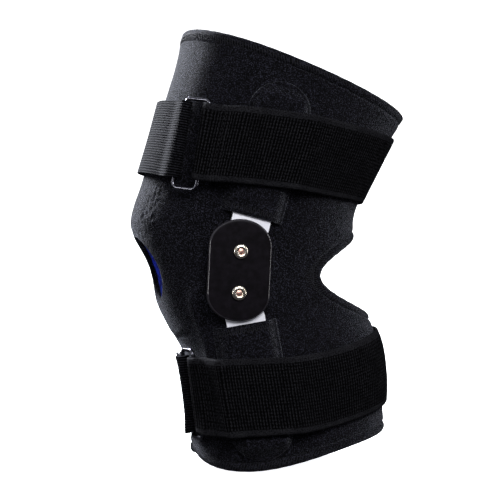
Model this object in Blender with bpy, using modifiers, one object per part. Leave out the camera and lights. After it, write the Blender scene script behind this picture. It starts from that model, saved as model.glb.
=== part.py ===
"""Wrap-around hinged knee brace, built from its separate pieces.

The origin is the centre of the knee, midway between the two pivots of the side hinges.
-X is the front of the leg, -Y its outer (lateral) side and +Z is up. Lengths are in metres.
The brace is shaped for a knee bent by about 24 degrees, as it stands when nobody wears it.
"""

import math

import bmesh
import bpy
from mathutils import Matrix, Vector, geometry

MM = 0.001
MERGE_DISTANCE = 0.001 * MM
CLEARANCE = 0.3 * MM

# Side hinge: two pivots on a slightly leaning line, with geared bars between two plates
PIVOT_HALF_SPACING = 13.3 * MM
HINGE_TILT = math.radians(2.7)
UPPER_BAR_LEAN = math.radians(14.6)
LOWER_BAR_LEAN = math.radians(9.5)
BAR_WIDTH = 25.4 * MM
BAR_THICKNESS = 2.0 * MM
UPPER_BAR_LENGTH = 104 * MM
LOWER_BAR_LENGTH = 102 * MM
BAR_BEND_AT = 24 * MM
BAR_BEND_ANGLE = math.radians(5.0)
BAR_CORNER = 9 * MM
BAR_SHIFT = 2.3 * MM
BAR_SHOULDER = 17 * MM
GEAR_TEETH = 15
GEAR_TOOTH_HEIGHT = 1.9 * MM
GEAR_BACKLASH = 0.3 * MM
GEAR_SECTOR = math.radians(54)

# Stack of the hinge, as distances from the leg's middle plane
BACK_PLATE_INNER = 56.9 * MM
BACK_PLATE_OUTER = 58.1 * MM
BAR_INNER = 58.4 * MM
BAR_OUTER = BAR_INNER + BAR_THICKNESS
WASHER_INNER = BAR_OUTER + CLEARANCE
WASHER_OUTER = WASHER_INNER + 0.6 * MM
COVER_INNER = WASHER_OUTER + CLEARANCE
COVER_OUTER = 64.6 * MM

COVER_HALF_WIDTH = 20.6 * MM
COVER_HALF_HEIGHT = 33 * MM
COVER_END_RISE = 17.5 * MM
COVER_LIFT = 1.3 * MM
COVER_EDGE_ROUND = 1.8 * MM
BACK_PLATE_INSET = 1.5 * MM

RIVET_SHANK_RADIUS = 2.5 * MM
RIVET_HEAD_RADIUS = 4.9 * MM
RIVET_HEAD_RISE = 1.9 * MM
RIVET_TAIL_RADIUS = 3.4 * MM
RIVET_TAIL_HEIGHT = 0.7 * MM
RIVET_DIMPLE_RADIUS = 1.1 * MM
RIVET_DIMPLE_DEPTH = 0.35 * MM
BUSH_OUTER_RADIUS = 4.0 * MM
WASHER_RADIUS = 8.0 * MM
TURNED_STEPS = 20
HOLE_REACH = 6 * MM

# Pockets that hold the bars
POCKET_WIDTH = 42 * MM
POCKET_WALL = 1.3 * MM
POCKET_END_MARGIN = 9 * MM
UPPER_POCKET_MOUTH = 23.7 * MM
LOWER_POCKET_MOUTH = 20.7 * MM
POCKET_EDGE_ROUND = 1.0 * MM
CHANNEL_END_GAP = 2 * MM
CHANNEL_OVERRUN = 5 * MM

# Pads inside the sleeve over the condyles of the knee
PAD_INNER = 41.5 * MM
PAD_OUTER = 47.2 * MM
PAD_HALF_WIDTH = 19 * MM
PAD_HALF_HEIGHT = 30 * MM
PAD_EDGE_ROUND = 2.0 * MM

# Neoprene sleeve: x and z of the front edge, x and z of the back edge, and the half-width of
# each section in mm, from the calf end to the thigh end
SLEEVE_SECTIONS_MM = (
    (-20.5, -141.0, 109.0, -131.0, 54.0),
    (-21.5, -119.0, 110.0, -109.0, 54.8),
    (-20.5, -95.0, 109.5, -92.0, 56.0),
    (-22.5, -74.0, 109.5, -72.0, 57.3),
    (-28.0, -53.0, 106.5, -50.0, 57.0),
    (-37.0, -38.0, 100.0, -33.0, 56.0),
    (-45.0, -22.0, 95.0, -22.0, 55.6),
    (-54.0, 2.5, 90.0, -4.2, 55.8),
    (-61.0, 23.0, 88.5, 22.0, 56.3),
    (-63.0, 36.0, 88.5, 34.0, 57.0),
    (-55.0, 62.0, 92.0, 46.0, 58.5),
    (-46.5, 90.0, 102.0, 66.0, 61.0),
    (-39.0, 117.5, 113.0, 87.0, 63.3),
    (-33.0, 137.0, 119.0, 97.0, 64.8),
    (-27.2, 162.0, 122.5, 103.0, 66.0),
    (-21.5, 186.0, 125.5, 109.0, 66.6),
)
SLEEVE_ROUNDNESS = 2.2
SLEEVE_THICKNESS = 4.0 * MM
SLEEVE_SEGMENTS = 40
SLEEVE_GAP = 0.5 * MM
MEAN_RADIUS = 60 * MM
THIGH_RIM_HEIGHT = 132.4 * MM
THIGH_RIM_BACK_RISE = 2.7 * MM
KNEE_TOP_HEIGHT = 50 * MM
KNEE_BOTTOM_HEIGHT = -44 * MM
CALF_RIM_HEIGHT = -115.5 * MM
CALF_RIM_BACK_RISE = 3 * MM
CALF_RIM_SIDE_DROP = 13 * MM

PATELLA_HALF_WIDTH = 28 * MM
PATELLA_BOTTOM = -22 * MM
PATELLA_TOP = 23 * MM
POPLITEAL_HALF_WIDTH = 45 * MM
POPLITEAL_BOTTOM = -28 * MM
POPLITEAL_TOP = 22 * MM
FRONT_CUT = (-90 * MM, -20 * MM)
BACK_CUT = (20 * MM, 130 * MM)
BUTTRESS_RADIUS = 3.0 * MM
BUTTRESS_MARGIN = 6.0 * MM
BUTTRESS_GAP = 1.5 * MM
BUTTRESS_POINTS = 32

# Straps: elastic band, hook tab and the wire ring between them
STRAP_WIDTH = 50 * MM
THIGH_STRAP_HEIGHT = 78.2 * MM
THIGH_STRAP_BACK_RISE = 1.6 * MM
THIGH_STRAP_DIP = 2.2 * MM
THIGH_STRAP_DIP_SPREAD = math.radians(30)
CALF_STRAP_HEIGHT = -79.3 * MM
CALF_STRAP_BACK_RISE = 14 * MM
CALF_STRAP_RISE_POWER = 12
FOLD_ANGLE = math.radians(17)
FOLD_RAMP = math.radians(7)
OVER_RAMP = math.radians(9)
RAMP_DOWN = math.radians(10)
TAB_RAMP = math.radians(9)
TAB_OUTER_RAMP = math.radians(12)
STRAP_ROWS = 3
ELASTIC_THICKNESS = 2.2 * MM
TAB_THICKNESS = 1.8 * MM
ELASTIC_TURN_RADIUS = 3.4 * MM
TAB_TURN_RADIUS = 3.6 * MM
ELASTIC_OFFSET = 2.0 * MM
ELASTIC_LIFT = 2.8 * MM
POCKET_TO_STRAP = 1.7 * MM
TAB_OFFSET = 1.9 * MM
TAB_OUTER_OFFSET = 4.3 * MM
STRAP_GAP = 0.5 * MM
RING_WIRE_RADIUS = 1.3 * MM
RING_HEIGHT = 61 * MM
RING_WIDTH = 20 * MM
RING_CORNER = 3.5 * MM
RING_OFFSET = 7.2 * MM
THIGH_RING_DROP = 2.3 * MM
CALF_RING_DROP = 0 * MM

# Angles round the leg of each strap's ring, of the joint of its tab and elastic, and of its tab's end
THIGH_STRAP_ANGLES = (math.radians(48), math.radians(-58), math.radians(-33))
CALF_STRAP_ANGLES = (math.radians(43), math.radians(-48), math.radians(-30))

MATERIALS = {
    "neoprene_black": ((0.012, 0.012, 0.016), 0.9, 0.0),
    "elastic_black": ((0.014, 0.014, 0.016), 0.8, 0.0),
    "webbing_grey": ((0.05, 0.05, 0.06), 0.75, 0.0),
    "cover_black": ((0.015, 0.014, 0.017), 0.38, 0.0),
    "bar_grey": ((0.66, 0.66, 0.72), 0.45, 0.7),
    "rivet_brass": ((0.72, 0.62, 0.46), 0.28, 1.0),
    "bush_brass": ((0.70, 0.52, 0.25), 0.35, 1.0),
    "washer_nylon": ((0.75, 0.74, 0.70), 0.6, 0.0),
    "ring_gunmetal": ((0.16, 0.16, 0.18), 0.3, 1.0),
    "pad_foam": ((0.03, 0.03, 0.16), 0.9, 0.0),
}

# Turns a plate drawn in its own XY plane so that its +Z points out of the leg's lateral side
PLATE_TO_WORLD = Matrix.Rotation(math.radians(90), 4, "X")


def clear_scene():
    for old in list(bpy.data.objects):
        bpy.data.objects.remove(old, do_unlink=True)


def new_collection(name):
    collection = bpy.data.collections.new(name)
    bpy.context.scene.collection.children.link(collection)
    return collection


def make_material(name):
    colour, roughness, metallic = MATERIALS[name]
    material = bpy.data.materials.new(name)
    material.use_nodes = True
    shader = material.node_tree.nodes["Principled BSDF"]
    shader.inputs["Base Color"].default_value = (*colour, 1.0)
    shader.inputs["Roughness"].default_value = roughness
    shader.inputs["Metallic"].default_value = metallic
    material.diffuse_color = (*colour, 1.0)
    return material


def add_piece(name, mesh, material):
    """A named piece in the brace's collection, with its material."""
    mesh.name = name
    mesh.materials.clear()
    mesh.materials.append(materials[material])
    piece = bpy.data.objects.new(name, mesh)
    brace.objects.link(piece)
    return piece


def baked_mesh(source):
    """The evaluated mesh of an object in world space, welded; the object itself is removed."""
    bpy.context.view_layer.update()
    evaluated = source.evaluated_get(bpy.context.evaluated_depsgraph_get())
    mesh = bpy.data.meshes.new_from_object(evaluated)
    mesh.transform(source.matrix_world)
    bpy.data.objects.remove(source, do_unlink=True)
    solid = bmesh.new()
    solid.from_mesh(mesh)
    bmesh.ops.remove_doubles(solid, verts=solid.verts, dist=MERGE_DISTANCE)
    bmesh.ops.recalc_face_normals(solid, faces=solid.faces)
    solid.to_mesh(mesh)
    solid.free()
    return mesh


def shade_round(piece, angle=math.radians(35)):
    piece.data.shade_smooth()
    piece.data.set_sharp_from_angle(angle=angle)


def grid_mesh(name, rows, closed_round=False):
    """An open sheet through rows of points, which faces outwards where the rows run up the leg."""
    sheet = bmesh.new()
    lines = [[sheet.verts.new(point) for point in row] for row in rows]
    count = len(rows[0])
    last = count if closed_round else count - 1
    for lower, upper in zip(lines, lines[1:]):
        for i in range(last):
            j = (i + 1) % count
            sheet.faces.new((lower[i], lower[j], upper[j], upper[i]))
    mesh = bpy.data.meshes.new(name)
    sheet.to_mesh(mesh)
    sheet.free()
    return mesh


def solidify(piece, thickness, offset):
    shell = piece.modifiers.new("thickness", "SOLIDIFY")
    shell.thickness = thickness
    shell.offset = offset
    shell.use_even_offset = False


def hide_cutter(cutter):
    cutter.hide_render = True
    cutter.display_type = "WIRE"
    cutters.objects.link(cutter)


def cut_away(piece, cutter):
    cut = piece.modifiers.new(cutter.name, "BOOLEAN")
    cut.operation = "DIFFERENCE"
    cut.solver = "EXACT"
    cut.object = cutter


# ---------------------------------------------------------------- sleeve surface


def side_line_x(z):
    """x of the line that the hinge and its bars follow, where the sleeve is widest."""
    rise = PIVOT_HALF_SPACING * math.cos(HINGE_TILT)
    shift = PIVOT_HALF_SPACING * math.sin(HINGE_TILT)
    if z > rise:
        return shift + (z - rise) * math.tan(UPPER_BAR_LEAN)
    if z < -rise:
        return -shift - (z + rise) * math.tan(LOWER_BAR_LEAN)
    return z * shift / rise


def sleeve_stations():
    """(height, values) of each section: the values add the place of its widest point."""
    stations = []
    for row in SLEEVE_SECTIONS_MM:
        front_x, front_z, back_x, back_z, half_width = (value * MM for value in row)
        height = (front_z + back_z) / 2
        widest_z = height
        for _ in range(5):
            share = (side_line_x(widest_z) - front_x) / (back_x - front_x)
            widest_z = front_z + share * (back_z - front_z)
        stations.append((height, (front_x, front_z, back_x, back_z, half_width, share)))
    return stations


def section_at(height):
    """Values of the sleeve's section at a height, on a smooth curve through the stations."""
    last = len(STATIONS) - 2
    i = 0
    while i < last and height > STATIONS[i + 1][0]:
        i += 1

    def slope(k):
        low = max(k - 1, 0)
        high = min(k + 1, len(STATIONS) - 1)
        run = STATIONS[high][0] - STATIONS[low][0]
        return [(b - a) / run for a, b in zip(STATIONS[low][1], STATIONS[high][1])]

    start, end = STATIONS[i], STATIONS[i + 1]
    run = end[0] - start[0]
    t = (height - start[0]) / run
    weights = (2 * t**3 - 3 * t**2 + 1, t**3 - 2 * t**2 + t, 3 * t**2 - 2 * t**3, t**3 - t**2)
    rows = zip(start[1], slope(i), end[1], slope(i + 1))
    return [
        weights[0] * a + weights[1] * run * slope_a + weights[2] * b + weights[3] * run * slope_b
        for a, slope_a, b, slope_b in rows
    ]


def sleeve_point(angle, height, offset=0.0):
    """A point on the sleeve's outer face, moved out by offset.

    The angle runs round the leg: 0 is the front, 90 degrees the lateral side, 180 the back.
    """
    front_x, front_z, back_x, back_z, half_width, share = section_at(height)
    front = Vector((front_x, 0, front_z))
    back = Vector((back_x, 0, back_z))
    widest = front.lerp(back, share)
    backwards = (back - front).normalized()
    length = (back - front).length
    reach = length * share if math.cos(angle) > 0 else length * (1 - share)
    along = -math.cos(angle)
    side = -math.sin(angle)
    n = SLEEVE_ROUNDNESS
    radius = (abs(along / reach) ** n + abs(side / half_width) ** n) ** (-1 / n)
    along *= radius
    side *= radius
    slope_along = math.copysign(abs(along / reach) ** (n - 1) / reach, along)
    slope_side = math.copysign(abs(side / half_width) ** (n - 1) / half_width, side)
    outwards = (backwards * slope_along + Vector((0, slope_side, 0))).normalized()
    return widest + backwards * along + Vector((0, side, 0)) + outwards * offset


def back_share(angle):
    """0 at the front of the leg and 1 at its back."""
    return (1 - math.cos(angle)) / 2


def surface_frame(angle, height, offset=0.0):
    """Point, direction round the leg, direction up the leg and outward normal."""
    step = math.radians(0.5)
    rise = 0.5 * MM
    point = sleeve_point(angle, height, offset)
    round_step = sleeve_point(angle + step, height, offset) - sleeve_point(angle - step, height, offset)
    up_step = sleeve_point(angle, height + rise, offset) - sleeve_point(angle, height - rise, offset)
    around = round_step.normalized()
    upwards = (up_step - around * up_step.dot(around)).normalized()
    outwards = around.cross(upwards)
    if outwards.dot(sleeve_point(angle, height, offset + rise) - point) < 0:
        outwards.negate()
    return point, around, upwards, outwards


def sleeve_tube(name, bottom, top, rows):
    """A ring of neoprene between two heights, each a function of the angle round the leg."""
    angles = [2 * math.pi * i / SLEEVE_SEGMENTS for i in range(SLEEVE_SEGMENTS)]
    lines = []
    for k in range(rows + 1):
        share = k / rows
        lines.append([sleeve_point(a, bottom(a) + share * (top(a) - bottom(a))) for a in angles])
    piece = add_piece(name, grid_mesh(name, lines, closed_round=True), "neoprene_black")
    solidify(piece, SLEEVE_THICKNESS, -1)
    piece.data.shade_smooth()
    return piece


def opening_cutter(name, half_width, bottom, top, reach):
    """An oval bar along X, between the two x of its reach, that cuts an opening through the sleeve."""
    start_x, end_x = reach
    shape = bmesh.new()
    bmesh.ops.create_cone(shape, cap_ends=True, segments=40, radius1=1, radius2=1, depth=1)
    place = (
        Matrix.Translation(((start_x + end_x) / 2, 0, (bottom + top) / 2))
        @ Matrix.Diagonal((end_x - start_x, half_width, (top - bottom) / 2, 1))
        @ Matrix.Rotation(math.radians(90), 4, "Y")
    )
    bmesh.ops.transform(shape, matrix=place, verts=shape.verts)
    mesh = bpy.data.meshes.new(name)
    shape.to_mesh(mesh)
    shape.free()
    cutter = bpy.data.objects.new(name, mesh)
    hide_cutter(cutter)
    return cutter


def build_sleeve():
    def thigh_rim(angle):
        return THIGH_RIM_HEIGHT + THIGH_RIM_BACK_RISE * back_share(angle)

    def calf_rim(angle):
        drop = CALF_RIM_SIDE_DROP * abs(math.sin(angle)) ** 1.5
        return CALF_RIM_HEIGHT + CALF_RIM_BACK_RISE * back_share(angle) - drop

    thigh = sleeve_tube("sleeve_thigh", lambda a: KNEE_TOP_HEIGHT + SLEEVE_GAP, thigh_rim, 5)
    knee = sleeve_tube("sleeve_knee", lambda a: KNEE_BOTTOM_HEIGHT, lambda a: KNEE_TOP_HEIGHT, 8)
    calf = sleeve_tube("sleeve_calf", calf_rim, lambda a: KNEE_BOTTOM_HEIGHT - SLEEVE_GAP, 5)
    patella = opening_cutter(
        "patella_cutter", PATELLA_HALF_WIDTH, PATELLA_BOTTOM, PATELLA_TOP, FRONT_CUT
    )
    popliteal = opening_cutter(
        "popliteal_cutter", POPLITEAL_HALF_WIDTH, POPLITEAL_BOTTOM, POPLITEAL_TOP, BACK_CUT
    )
    cut_away(knee, patella)
    cut_away(knee, popliteal)
    return thigh, knee, calf


def build_patella_buttress():
    """The soft ring sewn inside the sleeve round the kneecap opening."""
    centre_z = (PATELLA_TOP + PATELLA_BOTTOM) / 2
    reach_z = (PATELLA_TOP - PATELLA_BOTTOM) / 2 + BUTTRESS_MARGIN
    reach_y = PATELLA_HALF_WIDTH + BUTTRESS_MARGIN
    depth = -(SLEEVE_THICKNESS + BUTTRESS_RADIUS + BUTTRESS_GAP)
    curve = bpy.data.curves.new("patella_buttress", "CURVE")
    curve.dimensions = "3D"
    curve.bevel_depth = BUTTRESS_RADIUS
    curve.bevel_resolution = 2
    spline = curve.splines.new("POLY")
    spline.points.add(BUTTRESS_POINTS - 1)
    spline.use_cyclic_u = True
    for i, point in enumerate(spline.points):
        turn = 2 * math.pi * i / BUTTRESS_POINTS
        wanted_y = reach_y * math.sin(turn)
        wanted_z = centre_z + reach_z * math.cos(turn)
        point.co = (*point_facing(wanted_y, wanted_z, depth), 1)
    ring = bpy.data.objects.new("patella_buttress", curve)
    brace.objects.link(ring)
    piece = add_piece("patella_buttress", baked_mesh(ring), "pad_foam")
    piece.data.shade_smooth()
    return piece


def point_facing(y, z, offset):
    """The point on the front of the sleeve that has the given y and z."""
    angle = 0.0
    height = z
    for _ in range(12):
        point = sleeve_point(angle, height, offset)
        angle += (point.y - y) / MEAN_RADIUS
        height += z - point.z
    return sleeve_point(angle, height, offset)


# ---------------------------------------------------------------- hinge


def pivot_of(upper):
    """Place of a pivot in the plates' own XY plane."""
    away = 1 if upper else -1
    return Vector((math.sin(HINGE_TILT), math.cos(HINGE_TILT))) * PIVOT_HALF_SPACING * away


def circle_points(centre, radius, count=20):
    turns = (2 * math.pi * i / count for i in range(count))
    return [(centre[0] + radius * math.cos(turn), centre[1] + radius * math.sin(turn)) for turn in turns]


def plate_mesh(name, outlines, inner, outer):
    """A flat plate between two distances from the middle plane; later outlines are holes."""
    curve = bpy.data.curves.new(name, "CURVE")
    curve.dimensions = "2D"
    curve.fill_mode = "BOTH"
    curve.extrude = (outer - inner) / 2
    for outline in outlines:
        spline = curve.splines.new("POLY")
        spline.points.add(len(outline) - 1)
        spline.use_cyclic_u = True
        for point, (x, y) in zip(spline.points, outline):
            point.co = (x, y, 0, 1)
    flat = bpy.data.objects.new(name, curve)
    brace.objects.link(flat)
    flat.location = (0, 0, (inner + outer) / 2)
    return baked_mesh(flat)


def round_outline(mesh, height, width, segments, holes=()):
    """Rounds the outline of a plate's face at the given height, but not the rims of its holes."""

    def is_outline(edge):
        middle = (edge.verts[0].co.xy + edge.verts[1].co.xy) / 2
        return (
            all(abs(vert.co.z - height) < MERGE_DISTANCE for vert in edge.verts)
            and edge.calc_face_angle() > math.radians(60)
            and all((middle - hole).length > HOLE_REACH for hole in holes)
        )

    solid = bmesh.new()
    solid.from_mesh(mesh)
    rim = [edge for edge in solid.edges if is_outline(edge)]
    bmesh.ops.bevel(solid, geom=rim, offset=width, segments=segments, profile=0.5, affect="EDGES")
    solid.to_mesh(mesh)
    solid.free()


def oblong_outline(half_width, half_height, end_rise, tilt, count=12):
    """Straight sides joined by half-ellipses, leaning by the given angle."""
    straight = half_height - end_rise
    points = []
    for end in (1, -1):
        for i in range(count + 1):
            turn = math.pi * i / count
            x = half_width * math.cos(turn) * end
            y = (straight + end_rise * math.sin(turn)) * end
            points.append(Matrix.Rotation(-tilt, 2) @ Vector((x, y)))
    return points


def bar_outline(upper):
    """The outline of a hinge bar: a strip set a little back from its geared round end."""
    pivot = pivot_of(upper)
    up = 1 if upper else -1
    lean = UPPER_BAR_LEAN if upper else LOWER_BAR_LEAN
    length = UPPER_BAR_LENGTH if upper else LOWER_BAR_LENGTH
    along = Vector((math.sin(lean), up * math.cos(lean)))
    across = Vector((along.y, -along.x))
    aside = across * up * BAR_SHIFT
    to_other = -pivot.normalized()
    other_angle = math.atan2(to_other.y, to_other.x)
    half = BAR_WIDTH / 2
    start = math.atan2(across.y, across.x)
    while start > other_angle:
        start -= 2 * math.pi
    while start < other_angle - 2 * math.pi:
        start += 2 * math.pi
    count = 60
    points = []
    for i in range(count + 1):
        turn = start - math.pi * i / count
        from_mesh = math.remainder(turn - other_angle, 2 * math.pi)
        radius = half
        if abs(from_mesh) < GEAR_SECTOR:
            wave = math.cos(GEAR_TEETH * from_mesh) * (1 if upper else -1)
            radius = PIVOT_HALF_SPACING - GEAR_BACKLASH + wave * GEAR_TOOTH_HEIGHT / 2
        points.append(pivot + Vector((math.cos(turn), math.sin(turn))) * radius)
    shoulders = [pivot + aside + along * BAR_SHOULDER + across * side * half for side in (-1, 1)]
    points.append(shoulders[0])
    corner_count = 6
    for side in (-1, 1):
        centre = pivot + aside + along * (length - BAR_CORNER) + across * side * (half - BAR_CORNER)
        for i in range(corner_count + 1):
            turn = math.pi / 2 * i / corner_count
            if side < 0:
                direction = -across * math.cos(turn) + along * math.sin(turn)
            else:
                direction = along * math.cos(turn) + across * math.sin(turn)
            points.append(centre + direction * BAR_CORNER)
    points.append(shoulders[1])
    return points


def bend_bar(mesh):
    """Bends the upper bar outwards, to follow the thigh, across a line at a right angle to it."""
    along = Vector((math.sin(UPPER_BAR_LEAN), math.cos(UPPER_BAR_LEAN), 0))
    line = pivot_of(True).to_3d() + along * BAR_BEND_AT
    solid = bmesh.new()
    solid.from_mesh(mesh)
    geometry = solid.verts[:] + solid.edges[:] + solid.faces[:]
    bmesh.ops.bisect_plane(solid, geom=geometry, plane_co=line, plane_no=along, dist=MERGE_DISTANCE)
    for vert in solid.verts:
        beyond = (vert.co - line).dot(along)
        if beyond > 0:
            vert.co.z += beyond * math.tan(BAR_BEND_ANGLE)
    solid.to_mesh(mesh)
    solid.free()


def plate_piece(name, mesh, material):
    """Stands a plate on the leg's lateral side."""
    mesh.transform(PLATE_TO_WORLD)
    piece = add_piece(name, mesh, material)
    shade_round(piece)
    return piece


def build_cover_plate():
    lift = Vector((0, COVER_LIFT))
    oblong = oblong_outline(COVER_HALF_WIDTH, COVER_HALF_HEIGHT, COVER_END_RISE, HINGE_TILT)
    outline = [point + lift for point in oblong]
    pivots = [pivot_of(True), pivot_of(False)]
    holes = [circle_points(pivot, RIVET_SHANK_RADIUS + CLEARANCE) for pivot in pivots]
    mesh = plate_mesh("lateral_cover_plate", [outline, *holes], COVER_INNER, COVER_OUTER)
    round_outline(mesh, COVER_OUTER, COVER_EDGE_ROUND, 3, pivots)
    return plate_piece("lateral_cover_plate", mesh, "cover_black")


def build_back_plate():
    outline = oblong_outline(
        COVER_HALF_WIDTH - BACK_PLATE_INSET,
        COVER_HALF_HEIGHT - BACK_PLATE_INSET,
        COVER_END_RISE - BACK_PLATE_INSET,
        HINGE_TILT,
    )
    holes = [circle_points(pivot_of(upper), RIVET_TAIL_RADIUS + CLEARANCE) for upper in (True, False)]
    mesh = plate_mesh("lateral_back_plate", [outline, *holes], BACK_PLATE_INNER, BACK_PLATE_OUTER)
    return plate_piece("lateral_back_plate", mesh, "bar_grey")


def build_bar(upper):
    name = "lateral_upper_bar" if upper else "lateral_lower_bar"
    hole = circle_points(pivot_of(upper), BUSH_OUTER_RADIUS + CLEARANCE)
    mesh = plate_mesh(name, [bar_outline(upper), hole], BAR_INNER, BAR_OUTER)
    if upper:
        bend_bar(mesh)
    return plate_piece(name, mesh, "bar_grey")


def turned_piece(name, profile, upper, material):
    """A round piece on a pivot: the profile's points are (radius, distance from the middle)."""
    outline = bmesh.new()
    verts = [outline.verts.new((radius, 0, height)) for radius, height in profile]
    for start, end in zip(verts, verts[1:]):
        outline.edges.new((start, end))
    if profile[0][0] > 0:
        outline.edges.new((verts[-1], verts[0]))
    mesh = bpy.data.meshes.new(name)
    outline.to_mesh(mesh)
    outline.free()
    piece = bpy.data.objects.new(name, mesh)
    brace.objects.link(piece)
    turn = piece.modifiers.new("turn", "SCREW")
    turn.steps = TURNED_STEPS
    turn.render_steps = TURNED_STEPS
    turn.use_merge_vertices = True
    turn.merge_threshold = MERGE_DISTANCE
    piece.matrix_world = PLATE_TO_WORLD @ Matrix.Translation(pivot_of(upper).to_3d())
    rounded = add_piece(name, baked_mesh(piece), material)
    shade_round(rounded)
    return rounded


def dome_profile(radius, base, rise, count=4):
    """Points of a low dome from its crown out to its rim."""
    turns = (math.pi / 2 * i / count for i in range(1, count + 1))
    return [(radius * math.sin(turn), base + rise * math.cos(turn)) for turn in turns]


def build_rivet(upper):
    """A dome-headed rivet whose tail is spread inside the back plate."""
    name = "lateral_upper_rivet" if upper else "lateral_lower_rivet"
    head_base = COVER_OUTER + CLEARANCE
    head_edge = 0.3 * MM
    crown = head_base + RIVET_HEAD_RISE
    dome = dome_profile(RIVET_HEAD_RADIUS, head_base + head_edge, RIVET_HEAD_RISE - head_edge)
    profile = [(0, crown - RIVET_DIMPLE_DEPTH), (RIVET_DIMPLE_RADIUS, crown - RIVET_DIMPLE_DEPTH / 2)]
    profile += [point for point in dome if point[0] > RIVET_DIMPLE_RADIUS * 1.2]
    profile += [
        (RIVET_HEAD_RADIUS, head_base),
        (RIVET_SHANK_RADIUS, head_base),
        (RIVET_SHANK_RADIUS, BACK_PLATE_INNER + RIVET_TAIL_HEIGHT),
        (RIVET_TAIL_RADIUS, BACK_PLATE_INNER),
        (0, BACK_PLATE_INNER),
    ]
    return turned_piece(name, profile, upper, "rivet_brass")


def ring_profile(inner_radius, outer_radius, low, high):
    return [(outer_radius, high), (outer_radius, low), (inner_radius, low), (inner_radius, high)]


def build_bush(upper):
    name = "lateral_upper_bush" if upper else "lateral_lower_bush"
    inner_radius = RIVET_SHANK_RADIUS + CLEARANCE
    low = BACK_PLATE_OUTER + CLEARANCE
    profile = ring_profile(inner_radius, BUSH_OUTER_RADIUS, low, COVER_INNER - CLEARANCE)
    return turned_piece(name, profile, upper, "bush_brass")


def build_washer(upper):
    name = "lateral_upper_washer" if upper else "lateral_lower_washer"
    inner_radius = BUSH_OUTER_RADIUS + CLEARANCE
    profile = ring_profile(inner_radius, WASHER_RADIUS, WASHER_INNER, WASHER_OUTER)
    return turned_piece(name, profile, upper, "washer_nylon")


def build_condyle_pad():
    outline = oblong_outline(PAD_HALF_WIDTH, PAD_HALF_HEIGHT, PAD_HALF_WIDTH, HINGE_TILT)
    mesh = plate_mesh("lateral_condyle_pad", [outline], PAD_INNER, PAD_OUTER)
    round_outline(mesh, PAD_INNER, PAD_EDGE_ROUND, 2)
    return plate_piece("lateral_condyle_pad", mesh, "pad_foam")


# ---------------------------------------------------------------- pockets


def pocket_outline(mouth, end):
    """Straight sides from the mouth to a half-round end."""
    half = POCKET_WIDTH / 2
    count = 10
    outline = [(-half, mouth), (half, mouth)]
    for i in range(count + 1):
        turn = math.pi * i / count
        outline.append((half * math.cos(turn), end - half + half * math.sin(turn)))
    return outline


def channel_cutter(name, mouth, bar_length):
    """The space for a bar: open at the pocket's mouth and towards the leg."""
    low = mouth - CHANNEL_OVERRUN
    high = bar_length + CHANNEL_END_GAP
    top = BAR_THICKNESS + CLEARANCE
    channel = bmesh.new()
    bmesh.ops.create_cube(channel, size=1)
    place = Matrix.Translation((0, (low + high) / 2, top - CHANNEL_OVERRUN / 2))
    place = place @ Matrix.Diagonal((BAR_WIDTH + 2 * CLEARANCE, high - low, CHANNEL_OVERRUN, 1))
    bmesh.ops.transform(channel, matrix=place, verts=channel.verts)
    mesh = bpy.data.meshes.new(name)
    channel.to_mesh(mesh)
    channel.free()
    cutter = bpy.data.objects.new(name, mesh)
    hide_cutter(cutter)
    return cutter


def build_pocket(upper):
    """The panel that holds a bar against the sleeve."""
    name = "lateral_upper_pocket" if upper else "lateral_lower_pocket"
    length = UPPER_BAR_LENGTH if upper else LOWER_BAR_LENGTH
    mouth = UPPER_POCKET_MOUTH if upper else LOWER_POCKET_MOUTH
    outline = pocket_outline(mouth, length + POCKET_END_MARGIN)
    top = BAR_THICKNESS + CLEARANCE + POCKET_WALL
    mesh = plate_mesh(name, [outline], -CLEARANCE, top)
    round_outline(mesh, top, POCKET_EDGE_ROUND, 2)
    panel = bpy.data.objects.new(name, mesh)
    brace.objects.link(panel)
    cut_away(panel, channel_cutter(name + "_cutter", mouth, length))
    mesh = baked_mesh(panel)
    mesh.transform(pocket_placement(upper))
    return plate_piece(name, mesh, "neoprene_black")


def pocket_placement(upper):
    """From a bar's own frame, with +Y along it and Z = 0 on its inner face, to the plates' frame."""
    place = Matrix.Translation(pivot_of(upper).to_3d() + Vector((0, 0, BAR_INNER)))
    if not upper:
        aside = Matrix.Translation((-BAR_SHIFT, 0, 0))
        return place @ Matrix.Rotation(math.pi + LOWER_BAR_LEAN, 4, "Z") @ aside
    bend = Matrix.Translation((BAR_SHIFT, BAR_BEND_AT, 0))
    shear = Matrix.Identity(4)
    shear[2][1] = math.tan(BAR_BEND_ANGLE)
    back = Matrix.Translation((0, -BAR_BEND_AT, 0))
    return place @ Matrix.Rotation(-UPPER_BAR_LEAN, 4, "Z") @ bend @ shear @ back


# ---------------------------------------------------------------- straps


def thigh_strap_height(angle):
    """Height of the strap's centre line, which dips a little where the ring pulls on it."""
    from_ring = math.remainder(angle - THIGH_STRAP_ANGLES[0], 2 * math.pi)
    dip = THIGH_STRAP_DIP * math.exp(-((from_ring / THIGH_STRAP_DIP_SPREAD) ** 2))
    return THIGH_STRAP_HEIGHT + THIGH_STRAP_BACK_RISE * back_share(angle) ** 2 - dip


def calf_strap_height(angle):
    return CALF_STRAP_HEIGHT + CALF_STRAP_BACK_RISE * back_share(angle) ** CALF_STRAP_RISE_POWER


def strap_point(height_of, angle, across, offset):
    """A point on a strap: across is its distance above the centre line, offset from the sleeve."""
    centre = height_of(angle)
    rise = 1 * MM
    stretch = (sleeve_point(angle, centre + rise) - sleeve_point(angle, centre - rise)).length / (2 * rise)
    return sleeve_point(angle, centre + across / stretch, offset)


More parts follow.
